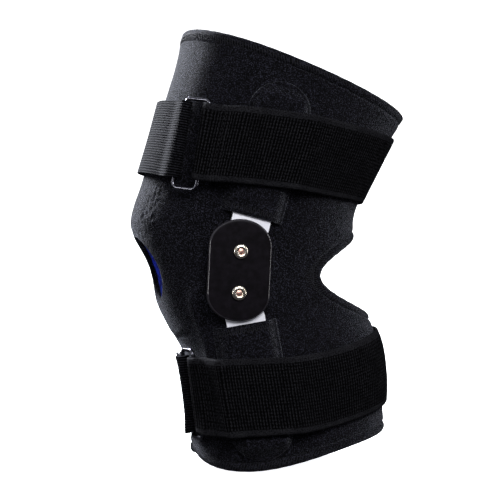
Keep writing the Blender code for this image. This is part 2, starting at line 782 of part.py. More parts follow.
def strap_piece(name, path, thickness, material):
    """A strap along a path: each stop gives the place of a point by its distance across."""
    rows = []
    for k in range(STRAP_ROWS + 1):
        across = STRAP_WIDTH * (k / STRAP_ROWS - 0.5)
        rows.append([stop(across) for stop in path])
    piece = add_piece(name, grid_mesh(name, rows), material)
    solidify(piece, thickness, 0)
    shade_round(piece, math.radians(60))
    return piece


def sleeve_stop(height_of, angle, offset):
    """A stop that lies a fixed distance off the sleeve."""
    return lambda across: strap_point(height_of, angle, across, offset)


def taut_stop(height_of, angle, lift):
    """A stop on the elastic where it is stretched over the sleeve and its pockets."""

    def place(across):
        below = strap_point(height_of, angle, across, ELASTIC_OFFSET)
        outline, centre = taut_outline(height_of, across)
        direction = (below.xy - centre).normalized()
        far = centre + direction * 5 * MEAN_RADIUS
        sides = zip(outline, outline[1:])
        hits = [geometry.intersect_line_line_2d(centre, far, start, end) for start, end in sides]
        reach = max((hit - centre).length for hit in hits if hit)
        spot = centre + direction * (reach + lift)
        return Vector((spot.x, spot.y, below.z))

    return place


def taut_outline(height_of, across):
    """The convex outline that the elastic takes, seen from above, and the middle of it."""
    key = (height_of.__name__, across)
    if key in taut_outlines:
        return taut_outlines[key]
    count = 72
    turns = (2 * math.pi * i / count for i in range(count))
    points = [strap_point(height_of, turn, across, ELASTIC_OFFSET).xy for turn in turns]
    side = strap_point(height_of, math.pi / 2, across, 0)
    middle = side_line_x(side.z)
    face = pocket_face(side.z) + ELASTIC_THICKNESS / 2 + POCKET_TO_STRAP
    half = POCKET_WIDTH / 2 + POCKET_TO_STRAP
    for edge in (BAR_SHIFT - half, BAR_SHIFT + half):
        points += [Vector((middle + edge, -face)), Vector((middle + edge, face))]
    hull = [points[i] for i in geometry.convex_hull_2d(points)]
    taut_outlines[key] = (hull + hull[:1], Vector((middle, 0)))
    return taut_outlines[key]


def pocket_face(z):
    """Distance of the pockets' outer face from the leg's middle plane."""
    beyond = z / math.cos(UPPER_BAR_LEAN) - PIVOT_HALF_SPACING - BAR_BEND_AT
    flare = max(beyond, 0) * math.tan(BAR_BEND_ANGLE)
    return BAR_OUTER + CLEARANCE + POCKET_WALL + flare


def round_step(height_of, angle):
    """Metres of strap for each radian round the leg."""
    step = math.radians(1)
    ahead = strap_point(height_of, angle + step, 0, 0)
    behind = strap_point(height_of, angle - step, 0, 0)
    return (ahead - behind).length / (2 * step)


def ring_frame(height_of, angle):
    return surface_frame(angle, height_of(angle), RING_OFFSET)


def bar_place(height_of, ring_angle, side):
    """Angle round the leg and offset of a ring's bar: side is +1 for the bar further round."""
    centre, around, _, _ = ring_frame(height_of, ring_angle)
    target = centre + around * side * (RING_WIDTH / 2 - RING_WIRE_RADIUS)
    angle = ring_angle
    for _ in range(8):
        point, direction, _, outwards = surface_frame(angle, height_of(angle))
        angle += (target - point).dot(direction) / round_step(height_of, angle)
    return angle, (target - point).dot(outwards)


def turn_stops(height_of, ring_angle, side, radius, count=8):
    """Stops of a strap's turn round a ring's straight bar, from under it to over it."""
    centre, around, upwards, outwards = ring_frame(height_of, ring_angle)
    bar = centre + around * side * (RING_WIDTH / 2 - RING_WIRE_RADIUS)
    stops = []
    for i in range(count + 1):
        turn = -math.pi / 2 + math.pi * i / count
        place = bar - around * side * radius * math.cos(turn) + outwards * radius * math.sin(turn)
        stops.append(lambda across, place=place: place + upwards * across)
    return stops


def eased_stops(stops, height_of, make_stop):
    """Stops between (angle, offset) pairs, with the offset easing from pair to pair."""
    pace = math.radians(6)
    made = []
    for (start, low), (end, high) in zip(stops, stops[1:]):
        count = max(1, round(abs(end - start) / pace))
        for i in range(1, count + 1):
            share = i / count
            ease = share * share * (3 - 2 * share)
            made.append(make_stop(height_of, start + (end - start) * share, low + (high - low) * ease))
    return made


def elastic_path(height_of, ring_angle, end_angle):
    """From the folded-back end under the strap, round the ring's rear bar and round the leg."""
    bar_angle, bar_offset = bar_place(height_of, ring_angle, 1)
    fold_end = bar_angle + FOLD_ANGLE
    fold_cleared = fold_end + math.radians(2)
    under = [
        (bar_angle, bar_offset - ELASTIC_TURN_RADIUS),
        (bar_angle + FOLD_RAMP, ELASTIC_OFFSET),
        (fold_end, ELASTIC_OFFSET),
    ]
    over = [
        (bar_angle, bar_offset + ELASTIC_TURN_RADIUS - ELASTIC_OFFSET),
        (bar_angle + OVER_RAMP, ELASTIC_LIFT),
        (fold_cleared, ELASTIC_LIFT),
        (fold_cleared + RAMP_DOWN, 0),
        (end_angle, 0),
    ]
    fold = eased_stops(under, height_of, sleeve_stop)
    turn = turn_stops(height_of, ring_angle, 1, ELASTIC_TURN_RADIUS)
    return fold[::-1] + turn + eased_stops(over, height_of, taut_stop)


def tab_path(height_of, ring_angle, start_angle, end_angle):
    """From its joint with the elastic, round the ring's front bar and back over itself."""
    bar_angle, bar_offset = bar_place(height_of, ring_angle, -1)
    under = [
        (bar_angle, bar_offset - TAB_TURN_RADIUS),
        (bar_angle - TAB_RAMP, TAB_OFFSET),
        (start_angle, TAB_OFFSET),
    ]
    over = [
        (bar_angle, bar_offset + TAB_TURN_RADIUS),
        (bar_angle - TAB_OUTER_RAMP, TAB_OUTER_OFFSET),
        (end_angle, TAB_OUTER_OFFSET),
    ]
    inner = eased_stops(under, height_of, sleeve_stop)
    turn = turn_stops(height_of, ring_angle, -1, TAB_TURN_RADIUS)
    return inner[::-1] + turn + eased_stops(over, height_of, sleeve_stop)


def build_ring(name, height_of, ring_angle, drop):
    """A wire ring: a rounded rectangle lying flat over the sleeve, hanging a little low on its strap."""
    centre, around, upwards, _ = ring_frame(height_of, ring_angle)
    centre = centre - upwards * drop
    half_width = RING_WIDTH / 2 - RING_WIRE_RADIUS
    half_height = RING_HEIGHT / 2 - RING_WIRE_RADIUS
    corners = ((1, 1), (-1, 1), (-1, -1), (1, -1))
    steps = 4
    curve = bpy.data.curves.new(name, "CURVE")
    curve.dimensions = "3D"
    curve.bevel_depth = RING_WIRE_RADIUS
    curve.bevel_resolution = 2
    spline = curve.splines.new("POLY")
    spline.points.add(len(corners) * (steps + 1) - 1)
    spline.use_cyclic_u = True
    index = 0
    for quarter, (across_sign, up_sign) in enumerate(corners):
        for i in range(steps + 1):
            turn = math.pi / 2 * (quarter + i / steps)
            across = across_sign * (half_width - RING_CORNER) + RING_CORNER * math.cos(turn)
            up = up_sign * (half_height - RING_CORNER) + RING_CORNER * math.sin(turn)
            spline.points[index].co = (*(centre + around * across + upwards * up), 1)
            index += 1
    wire = bpy.data.objects.new(name, curve)
    brace.objects.link(wire)
    piece = add_piece(name, baked_mesh(wire), "ring_gunmetal")
    piece.data.shade_smooth()
    return piece


def build_strap(prefix, height_of, angles, ring_drop):
    """One strap: elastic, hook tab and ring. The elastic and the tab meet at the joint angle."""
    ring_angle, joint_angle, tab_end_angle = angles
    gap = STRAP_GAP / MEAN_RADIUS
    elastic = strap_piece(
        prefix + "_strap_elastic",
        elastic_path(height_of, ring_angle, joint_angle + 2 * math.pi - gap),
        ELASTIC_THICKNESS,
        "elastic_black",
    )
    tab = strap_piece(
        prefix + "_strap_hook_tab",
        tab_path(height_of, ring_angle, joint_angle, tab_end_angle),
        TAB_THICKNESS,
        "webbing_grey",
    )
    ring = build_ring(prefix + "_ring", height_of, ring_angle, ring_drop)
    return elastic, tab, ring


# ---------------------------------------------------------------- assembly


def mirror_to_medial(piece):
    """The same piece on the other side of the leg."""
    name = piece.name.replace("lateral", "medial")
    mesh = piece.data.copy()
    mesh.transform(Matrix.Diagonal((1, -1, 1, 1)))
    mesh.flip_normals()
    return add_piece(name, mesh, piece.data.materials[0].name)


def hang_on_joint(name, place, pieces):
    """Parents the pieces of a moving body to an empty on its joint's axis."""
    joint = bpy.data.objects.new(name, None)
    joint.location = place
    brace.objects.link(joint)
    for piece in pieces:
        piece.parent = joint
        piece.matrix_parent_inverse = Matrix.Translation(place).inverted()
    return joint


def rear_bar_point(height_of, ring_angle):
    centre, around, _, _ = ring_frame(height_of, ring_angle)
    return centre + around * (RING_WIDTH / 2 - RING_WIRE_RADIUS)


def build_brace():
    thigh_sleeve, knee_sleeve, calf_sleeve = build_sleeve()
    buttress = build_patella_buttress()

    upper_bar = build_bar(True)
    lower_bar = build_bar(False)
    upper_pocket = build_pocket(True)
    lower_pocket = build_pocket(False)
    hinge = [build_cover_plate(), build_back_plate(), build_condyle_pad()]
    for upper in (True, False):
        hinge += [build_rivet(upper), build_bush(upper), build_washer(upper)]
    medial_hinge = [mirror_to_medial(piece) for piece in hinge]
    for piece in (upper_bar, upper_pocket):
        mirror_to_medial(piece)
    medial_calf = [mirror_to_medial(piece) for piece in (lower_bar, lower_pocket)]

    _, _, thigh_ring = build_strap(
        "thigh", thigh_strap_height, THIGH_STRAP_ANGLES, THIGH_RING_DROP
    )
    calf_elastic, calf_tab, calf_ring = build_strap(
        "calf", calf_strap_height, CALF_STRAP_ANGLES, CALF_RING_DROP
    )

    upper_place = PLATE_TO_WORLD @ pivot_of(True).to_3d()
    lower_place = PLATE_TO_WORLD @ pivot_of(False).to_3d()
    hinge_joint = hang_on_joint(
        "upper_pivot", upper_place, [knee_sleeve, buttress, *hinge, *medial_hinge]
    )
    calf_joint = hang_on_joint(
        "lower_pivot",
        lower_place,
        [calf_sleeve, lower_bar, lower_pocket, *medial_calf, calf_elastic, calf_tab],
    )
    thigh_bar = rear_bar_point(thigh_strap_height, THIGH_STRAP_ANGLES[0])
    calf_bar = rear_bar_point(calf_strap_height, CALF_STRAP_ANGLES[0])
    hang_on_joint("thigh_ring_swivel", thigh_bar, [thigh_ring])
    hang_on_joint("calf_ring_swivel", calf_bar, [calf_ring])


clear_scene()
brace = new_collection("knee_brace")
cutters = new_collection("cutters")
materials = {name: make_material(name) for name in MATERIALS}
STATIONS = sleeve_stations()
taut_outlines = {}
build_brace()
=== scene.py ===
"""Looks of the wrap-around hinged knee brace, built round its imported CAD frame.

The frame's origin is the centre of the knee, -X is the front of the leg, -Y its outer side, +Z is up.
The sleeve, straps, pockets, pads and polished parts are rebuilt in fine meshes over the CAD pieces.
"""

import math

import bmesh
import bpy
import numpy as np
from mathutils import Matrix, Vector, geometry, kdtree, noise


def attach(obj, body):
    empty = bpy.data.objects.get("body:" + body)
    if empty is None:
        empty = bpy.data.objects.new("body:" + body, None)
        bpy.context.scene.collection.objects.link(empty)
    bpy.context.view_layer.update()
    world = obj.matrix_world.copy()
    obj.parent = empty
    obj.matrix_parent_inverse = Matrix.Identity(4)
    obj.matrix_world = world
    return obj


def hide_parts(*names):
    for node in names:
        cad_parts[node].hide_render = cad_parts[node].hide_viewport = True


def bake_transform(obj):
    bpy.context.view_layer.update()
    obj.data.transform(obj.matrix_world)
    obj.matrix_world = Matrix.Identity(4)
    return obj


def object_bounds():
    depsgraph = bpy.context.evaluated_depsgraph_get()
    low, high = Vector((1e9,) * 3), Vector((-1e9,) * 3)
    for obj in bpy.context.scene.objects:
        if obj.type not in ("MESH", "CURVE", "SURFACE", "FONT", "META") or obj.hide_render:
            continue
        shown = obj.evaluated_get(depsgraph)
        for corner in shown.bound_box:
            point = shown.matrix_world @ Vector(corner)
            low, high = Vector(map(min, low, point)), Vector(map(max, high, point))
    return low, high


MM = 0.001

# Camera: level, from the lateral side and a little from the front
CAMERA_AZIMUTH = math.radians(-10)
CAMERA_DISTANCE = 1.1
CAMERA_LENS = 116.5
CAMERA_ASIDE = 17.7 * MM
CAMERA_HEIGHT = 14.3 * MM

# Side hinge, as in the CAD
PIVOT_HALF_SPACING = 13.3 * MM
HINGE_TILT = math.radians(2.7)
UPPER_BAR_LEAN = math.radians(14.6)
LOWER_BAR_LEAN = math.radians(9.5)
BAR_BEND_AT = 24 * MM
BAR_BEND_ANGLE = math.radians(5.0)
BAR_OUTER = 60.4 * MM
BAR_HALF_WIDTH = 12.7 * MM
BAR_SHIFT = 2.3 * MM
COVER_INNER = 61.6 * MM
COVER_OUTER = 64.6 * MM
COVER_HALF_WIDTH = 20.6 * MM
COVER_HALF_HEIGHT = 33 * MM
COVER_END_RISE = 17.5 * MM
COVER_LIFT = 1.3 * MM
COVER_EDGE_ROUND = 1.9 * MM
RIVET_HEAD_RADIUS = 4.9 * MM
RIVET_HEAD_RISE = 1.9 * MM
RIVET_SHANK_RADIUS = 2.5 * MM
RIVET_TAIL_RADIUS = 3.4 * MM
RIVET_TAIL = 56.9 * MM
RIVET_DIMPLE_RADIUS = 1.9 * MM
RIVET_DIMPLE_DEPTH = 0.9 * MM
PAD_INNER = 41.5 * MM
PAD_OUTER = 47.2 * MM
PAD_HALF_WIDTH = 19 * MM
PAD_HALF_HEIGHT = 30 * MM

# Pockets over the bars
POCKET_HALF_WIDTH = 21 * MM
POCKET_MOUTH = {"upper": 23.7 * MM, "lower": 20.7 * MM}
POCKET_END = {"upper": 113 * MM, "lower": 111 * MM}
POCKET_END_MARGIN = 9 * MM
POCKET_EDGE_ROUND = 1.2 * MM
POCKET_FACE = 62.0 * MM
POCKET_WALL = 1.3 * MM
POCKET_COLUMNS = 61
POCKET_LIFT = 0.9 * MM
POCKET_SLOPE = 8.0 * MM
POCKET_SEAM_INSET = 2.6 * MM
POCKET_SEAM_DEPTH = 0.3 * MM
POCKET_MOUTH_SEAM = 4 * MM
POCKET_MOUTH_SEAM_DEPTH = 0.45 * MM

# Sleeve, as in the CAD: x and z of the front edge, x and z of the back edge, and the half-width
# of each section in mm, from the calf end to the thigh end
SLEEVE_SECTIONS_MM = (
    (-20.5, -141.0, 109.0, -131.0, 54.0),
    (-21.5, -119.0, 110.0, -109.0, 54.8),
    (-20.5, -95.0, 109.5, -92.0, 56.0),
    (-22.5, -74.0, 109.5, -72.0, 57.3),
    (-28.0, -53.0, 106.5, -50.0, 57.0),
    (-37.0, -38.0, 100.0, -33.0, 56.0),
    (-45.0, -22.0, 95.0, -22.0, 55.6),
    (-54.0, 2.5, 90.0, -4.2, 55.8),
    (-61.0, 23.0, 88.5, 22.0, 56.3),
    (-63.0, 36.0, 88.5, 34.0, 57.0),
    (-55.0, 62.0, 92.0, 46.0, 58.5),
    (-46.5, 90.0, 102.0, 66.0, 61.0),
    (-39.0, 117.5, 113.0, 87.0, 63.3),
    (-33.0, 137.0, 119.0, 97.0, 64.8),
    (-27.2, 162.0, 122.5, 103.0, 66.0),
    (-21.5, 186.0, 125.5, 109.0, 66.6),
)
SLEEVE_ROUNDNESS = 2.2
SLEEVE_THICKNESS = 4.0 * MM
MEAN_RADIUS = 60 * MM
THIGH_RIM_HEIGHT = 132.4 * MM
THIGH_RIM_BACK_RISE = 2.7 * MM
CALF_RIM_HEIGHT = -115.5 * MM
CALF_RIM_BACK_RISE = 3 * MM
CALF_RIM_SIDE_DROP = 13 * MM
PATELLA_HALF_WIDTH = 28 * MM
PATELLA_BOTTOM = -22 * MM
PATELLA_TOP = 23 * MM
POPLITEAL_HALF_WIDTH = 45 * MM
POPLITEAL_BOTTOM = -28 * MM
POPLITEAL_TOP = 22 * MM
BUTTRESS_RADIUS = 3.0 * MM
BUTTRESS_MARGIN = 6.0 * MM
BUTTRESS_GAP = 1.5 * MM

# Straps, as in the CAD
STRAP_WIDTH = 50 * MM
STRAP_BLUR = 1.2 * MM
THIGH_STRAP_HEIGHT = 78.2 * MM
THIGH_STRAP_BACK_RISE = 1.6 * MM
THIGH_STRAP_DIP = 2.2 * MM
THIGH_STRAP_DIP_SPREAD = math.radians(30)
CALF_STRAP_HEIGHT = -79.3 * MM
CALF_STRAP_BACK_RISE = 14 * MM
CALF_STRAP_RISE_POWER = 12
ELASTIC_THICKNESS = 1.7 * MM
TAB_THICKNESS = 1.4 * MM
ELASTIC_TURN_RADIUS = 3.4 * MM
TAB_TURN_RADIUS = 3.6 * MM
TAB_UNDER_DROP = 1.9 * MM
ELASTIC_OFFSET = 2.0 * MM
ELASTIC_LIFT = 2.8 * MM
POCKET_TO_STRAP = 1.7 * MM
TAB_OFFSET = 1.9 * MM
TAB_OUTER_OFFSET = 4.3 * MM
RING_WIRE_RADIUS = 1.3 * MM
RING_HEIGHT = 61 * MM
RING_WIDTH = 20 * MM
RING_CORNER = 3.5 * MM
RING_OFFSET = 7.2 * MM
THIGH_RING_DROP = 2.3 * MM
CALF_RING_DROP = 0 * MM
THIGH_STRAP_ANGLES = [math.radians(a) for a in (48, -58, -33)]
CALF_STRAP_ANGLES = [math.radians(a) for a in (43, -48, -30)]
ELASTIC_RIB_PITCH = 2.0 * MM
ELASTIC_RIB_HEIGHT = 0.42 * MM
ELASTIC_BEAD_PITCH = 2.2 * MM
TAB_RIB_PITCH = 1.65 * MM
TAB_RIB_HEIGHT = 0.26 * MM
TAB_WEAVE_PITCH = 1.6 * MM
SELVEDGE = 4.0 * MM
SELVEDGE_TONE = 0.85
COARSE_LINES = 11
ELASTIC_LINES = 45
TAB_LINES = 121

# The elastic's fold, and how far round the leg each strap takes to settle beside a ring
FOLD_LENGTH = 20 * MM
FOLD_STITCH_ROWS = (9 * MM, 12.5 * MM, 16 * MM)
FOLD_ANGLE = math.radians(17)
FOLD_EASE_ANGLE = math.radians(7)
LIFT_EASE_ANGLE = math.radians(9)
LIFT_MARGIN_ANGLE = math.radians(2)
LIFT_END_ANGLE = math.radians(12)
TAB_UNDER_ANGLE = math.radians(9)
TAB_OVER_ANGLE = math.radians(12)

# Sewing
HEM_WIDTH = 5.8 * MM
EDGE_ROUND = 1.3 * MM
BINDING_WIDTH = 2.6 * MM
STITCH_PITCH = 2.1 * MM
THREAD_RADIUS = 0.22 * MM

PLATE_TO_WORLD = Matrix.Rotation(math.radians(90), 4, "X")


# ---------------------------------------------------------------- sleeve surface


def side_line_x(z):
    """x of the line that the hinge and its bars follow, where the sleeve is widest."""
    rise = PIVOT_HALF_SPACING * math.cos(HINGE_TILT)
    shift = PIVOT_HALF_SPACING * math.sin(HINGE_TILT)
    if z > rise:
        return shift + (z - rise) * math.tan(UPPER_BAR_LEAN)
    if z < -rise:
        return -shift - (z + rise) * math.tan(LOWER_BAR_LEAN)
    return z * shift / rise


def sleeve_stations():
    """Heights of the sections, and their values with the share at which each is widest."""
    heights, values = [], []
    for row in SLEEVE_SECTIONS_MM:
        front_x, front_z, back_x, back_z, half_width = (value * MM for value in row)
        height = (front_z + back_z) / 2
        widest_z = height
        for _ in range(5):
            share = (side_line_x(widest_z) - front_x) / (back_x - front_x)
            widest_z = front_z + share * (back_z - front_z)
        heights.append(height)
        values.append((front_x, front_z, back_x, back_z, half_width, share))
    return np.array(heights), np.array(values)


def sections_at(heights):
    """The sections' values at an array of heights, on a smooth curve through the stations."""
    knots, values = STATIONS
    last = len(knots) - 1
    index = np.clip(np.searchsorted(knots, heights) - 1, 0, last - 1)
    before, after = np.maximum(np.arange(last + 1) - 1, 0), np.minimum(np.arange(last + 1) + 1, last)
    slopes = (values[after] - values[before]) / (knots[after] - knots[before])[:, None]
    run = (knots[index + 1] - knots[index])[..., None]
    t = (heights - knots[index])[..., None] / run
    start = (2 * t**3 - 3 * t**2 + 1) * values[index] + (t**3 - 2 * t**2 + t) * run * slopes[index]
    end = (3 * t**2 - 2 * t**3) * values[index + 1] + (t**3 - t**2) * run * slopes[index + 1]
    return np.moveaxis(start + end, -1, 0)


def sleeve_surface(angles, heights, offsets=0.0):
    """Points on the sleeve's outer face, moved out by the offsets.

    The angle runs round the leg: 0 is the front, 90 degrees the lateral side, 180 the back.
    """
    angles, heights = np.broadcast_arrays(np.asarray(angles, float), np.asarray(heights, float))
    front_x, front_z, back_x, back_z, half_width, share = sections_at(heights)
    run_x, run_z = back_x - front_x, back_z - front_z
    length = np.hypot(run_x, run_z)
    run_x, run_z = run_x / length, run_z / length
    reach = np.where(np.cos(angles) > 0, length * share, length * (1 - share))
    along, side = -np.cos(angles), -np.sin(angles)
    n = SLEEVE_ROUNDNESS
    radius = (np.abs(along / reach) ** n + np.abs(side / half_width) ** n) ** (-1 / n)
    along, side = along * radius, side * radius
    lean_along = np.sign(along) * np.abs(along / reach) ** (n - 1) / reach
    lean_side = np.sign(side) * np.abs(side / half_width) ** (n - 1) / half_width
    size = np.hypot(lean_along, lean_side)
    along = along + lean_along / size * offsets
    side = side + lean_side / size * offsets
    middle_x = front_x + run_x * length * share
    middle_z = front_z + run_z * length * share
    return np.stack([middle_x + run_x * along, side, middle_z + run_z * along], axis=-1)


def sleeve_point(angle, height, offset=0.0):
    return Vector(sleeve_surface(angle, height, offset))


def surface_frame(angle, height, offset=0.0):
    """Point, direction round the leg, direction up the leg and outward normal."""
    step = math.radians(0.5)
    rise = 0.5 * MM
    point = sleeve_point(angle, height, offset)
    round_step = sleeve_point(angle + step, height, offset) - sleeve_point(angle - step, height, offset)
    up_step = sleeve_point(angle, height + rise, offset) - sleeve_point(angle, height - rise, offset)
    around = round_step.normalized()
    upwards = (up_step - around * up_step.dot(around)).normalized()
    outwards = around.cross(upwards)
    if outwards.dot(sleeve_point(angle, height, offset + rise) - point) < 0:
        outwards.negate()
    return point, around, upwards, outwards


def facing_front_or_back(y, z, back, offset=0.0):
    """Angles and heights of the points on the front or back of the sleeve with given y and z."""
    turn = -1 if back else 1
    angles = np.full_like(y, math.pi if back else 0.0)
    heights = np.array(z, float)
    for _ in range(40):
        points = sleeve_surface(angles, heights, offset)
        angles = angles + turn * (points[..., 1] - y) / MEAN_RADIUS
        heights = heights + z - points[..., 2]
    return angles, heights


def facing_side(x, z):
    """Angles and heights of the points on the lateral side of the sleeve with given x and z."""
    angles = np.full_like(x, math.pi / 2)
    heights = np.array(z, float)
    for _ in range(30):
        points = sleeve_surface(angles, heights)
        angles = angles + (x - points[..., 0]) / MEAN_RADIUS
        heights = heights + z - points[..., 2]
    return angles, heights


# ---------------------------------------------------------------- meshes


def object_from(name, mesh, material_names):
    piece = bpy.data.objects.new(name, mesh)
    bpy.context.scene.collection.objects.link(piece)
    for material in material_names:
        mesh.materials.append(materials[material])
    return piece


def mesh_from(name, points, faces, material_of=None, uvs=None):
    """A mesh from arrays: material_of gives each face's slot, uvs each point's place in metres."""
    mesh = bpy.data.meshes.new(name)
    mesh.from_pydata(np.asarray(points, float).reshape(-1, 3).tolist(), [], np.asarray(faces).tolist())
    if uvs is not None:
        layer = mesh.uv_layers.new(name="lie")
        corners = np.zeros(len(mesh.loops), np.int32)
        mesh.loops.foreach_get("vertex_index", corners)
        layer.data.foreach_set("uv", np.asarray(uvs, np.float32).reshape(-1, 2)[corners].ravel())
    if material_of is not None:
        mesh.polygons.foreach_set("material_index", np.asarray(material_of, np.int32))
    mesh.update()
    return mesh


def grid_faces(rows, columns, closed=False, start=0):
    """Faces of a grid of points, row after row; closed joins each row's end to its start."""
    across = columns if closed else columns - 1
    row, column = np.meshgrid(np.arange(rows - 1), np.arange(across), indexing="ij")
    after = (column + 1) % columns
    corners = [row * columns + column, row * columns + after]
    corners += [(row + 1) * columns + after, (row + 1) * columns + column]
    return np.stack(corners, axis=-1).reshape(-1, 4) + start


def shell_from_grids(name, outer, inner, closed, uvs=None):
    """A closed shell between two grids of the same size; inner faces take the second material."""
    rows, columns = outer.shape[:2]
    count = rows * columns
    front = grid_faces(rows, columns, closed)
    back = grid_faces(rows, columns, closed, count)[:, ::-1]
    index = np.arange(count).reshape(rows, columns)
    edges = []
    for line, flip in ((index[0], True), (index[-1], False)):
        following = np.roll(line, -1) if closed else line[1:]
        line = line if closed else line[:-1]
        edge = np.stack([line, following, following + count, line + count], axis=-1)
        edges.append(edge[:, ::-1] if flip else edge)
    if not closed:
        for line, flip in ((index[:, 0], False), (index[:, -1], True)):
            edge = np.stack([line[:-1], line[1:], line[1:] + count, line[:-1] + count], axis=-1)
            edges.append(edge[:, ::-1] if flip else edge)
    rim = np.concatenate(edges)[:, ::-1]
    faces = np.concatenate([front, back, rim])
    slots = np.concatenate([np.zeros(len(front)), np.ones(len(back)), np.zeros(len(rim))])
    points = np.concatenate([outer.reshape(-1, 3), inner.reshape(-1, 3)])
    both = None if uvs is None else np.concatenate([uvs.reshape(-1, 2)] * 2)
    mesh = mesh_from(name, points, faces, slots, both)
    make_solid_face_out(mesh)
    return mesh


def make_solid_face_out(mesh):
    solid = bmesh.new()
    solid.from_mesh(mesh)
    bmesh.ops.recalc_face_normals(solid, faces=solid.faces)
    if solid.calc_volume(signed=True) < 0:
        bmesh.ops.reverse_faces(solid, faces=solid.faces)
    solid.to_mesh(mesh)
    solid.free()


def shade(mesh, angle=math.radians(50)):
    mesh.shade_smooth()
    mesh.set_sharp_from_angle(angle=angle)


def noise_of(points, size):
    """Smooth noise from -1 to 1 at each point, with lumps of the given size."""
    flat = points.reshape(-1, 3) / size
    return np.array([noise.noise(Vector(p)) for p in flat]).reshape(points.shape[:-1])


def bump_at(distance, width):
    return np.exp(-((distance / width) ** 2))


def smooth(value, low, high):
    t = np.clip((value - low) / (high - low), 0, 1)
    return t * t * (3 - 2 * t)


def smoothed_along(points, samples):
    """The rows of a grid of points, blurred along the first axis by a number of samples."""
    reach = int(3 * samples) + 1
    weights = np.exp(-0.5 * (np.arange(-reach, reach + 1) / samples) ** 2)
    weights /= weights.sum()
    before = 2 * points[:1] - points[reach:0:-1]
    beyond = 2 * points[-1:] - points[-2 : -reach - 2 : -1]
    padded = np.concatenate([before, points, beyond])
    return sum(w * padded[i : i + len(points)] for i, w in enumerate(weights))


def normals_of(points):
    """Unit normals of an open grid of points."""
    along = np.gradient(points, axis=0)
    across = np.gradient(points, axis=1)
    normals = np.cross(along, across)
    return normals / np.linalg.norm(normals, axis=-1, keepdims=True)


# ---------------------------------------------------------------- sleeve


def back_share(angle):
    """0 at the front of the leg and 1 at its back."""
    return (1 - np.cos(angle)) / 2


def thigh_rim(angles):
    return THIGH_RIM_HEIGHT + THIGH_RIM_BACK_RISE * back_share(angles)


def calf_rim(angles):
    drop = CALF_RIM_SIDE_DROP * np.abs(np.sin(angles)) ** 1.5
    return CALF_RIM_HEIGHT + CALF_RIM_BACK_RISE * back_share(angles) - drop


def thigh_rim_line(count, inset=0.0):
    """Angles and heights of a line that runs a distance inside the thigh end."""
    angles = full_turn(count)
    return angles, thigh_rim(angles) - inset


def calf_rim_line(count, inset=0.0):
    angles = full_turn(count)
    return angles, calf_rim(angles) + inset


def oval_line(turns, half_width, bottom, top, back, inset=0.0):
    """Angles and heights round an oval opening; a turn of 0 is its top, a quarter its lateral side."""
    y = -(half_width + inset) * np.sin(turns)
    z = (top + bottom) / 2 + ((top - bottom) / 2 + inset) * np.cos(turns)
    return facing_front_or_back(y, z, back)


def patella_line(turns, inset=0.0):
    return oval_line(turns, PATELLA_HALF_WIDTH, PATELLA_BOTTOM, PATELLA_TOP, False, inset)


def popliteal_line(turns, inset=0.0):
    return oval_line(turns, POPLITEAL_HALF_WIDTH, POPLITEAL_BOTTOM, POPLITEAL_TOP, True, inset)


def full_turn(count):
    return np.linspace(0, 2 * math.pi, count, endpoint=False)


def rim_tree():
    """A search tree of points along every hemmed edge of the sleeve."""
    lines = [thigh_rim_line(900), calf_rim_line(900)]
    lines += [patella_line(full_turn(400)), popliteal_line(full_turn(500))]
    points = np.concatenate([sleeve_surface(*line) for line in lines])
    tree = kdtree.KDTree(len(points))
    for i, point in enumerate(points):
        tree.insert(point, i)
    tree.balance()
    return tree


def rim_distance(points):
    flat = points.reshape(-1, 3)
    return np.array([RIMS.find(point)[2] for point in flat]).reshape(points.shape[:-1])


def edge_rounding(distance):
    """How far the face drops where it turns over an edge."""
    from_corner = EDGE_ROUND - np.clip(distance, 0, EDGE_ROUND)
    return np.sqrt(EDGE_ROUND**2 - from_corner**2) - EDGE_ROUND


def hem_relief(distance):
    """Height of the sleeve's face beside an edge: rounded, crowned, and pulled in by the seam."""
    crown = 0.45 * MM * np.sin(np.clip(distance / HEM_WIDTH, 0, 1) * math.pi)
    seam = -0.75 * MM * bump_at(distance - HEM_WIDTH, 0.75 * MM)
    puff = 0.25 * MM * bump_at(distance - 9 * MM, 2.2 * MM)
    return edge_rounding(distance) + crown + seam + puff


def beside_kneecap(points):
    """1 round the kneecap opening, whose edge is turned in without a seam, and 0 elsewhere."""
    low, high = -45 * MM, 45 * MM
    beside = smooth(points[..., 0], -5 * MM, -20 * MM) * smooth(points[..., 2], high, high - 10 * MM)
    return beside * smooth(points[..., 2], low, low + 10 * MM)


def crease_relief(points, line, width, height):
    """A soft ridge along a line of points."""
    distance = np.full(points.shape[:-1], np.inf)
    for start, end in zip(line, line[1:]):
        start, end = np.array(start) * MM, np.array(end) * MM
        run = end - start
        share = np.clip((points - start) @ run / (run @ run), 0, 1)
        distance = np.minimum(distance, np.linalg.norm(points - start - share[..., None] * run, axis=-1))
    return height * bump_at(distance, width)


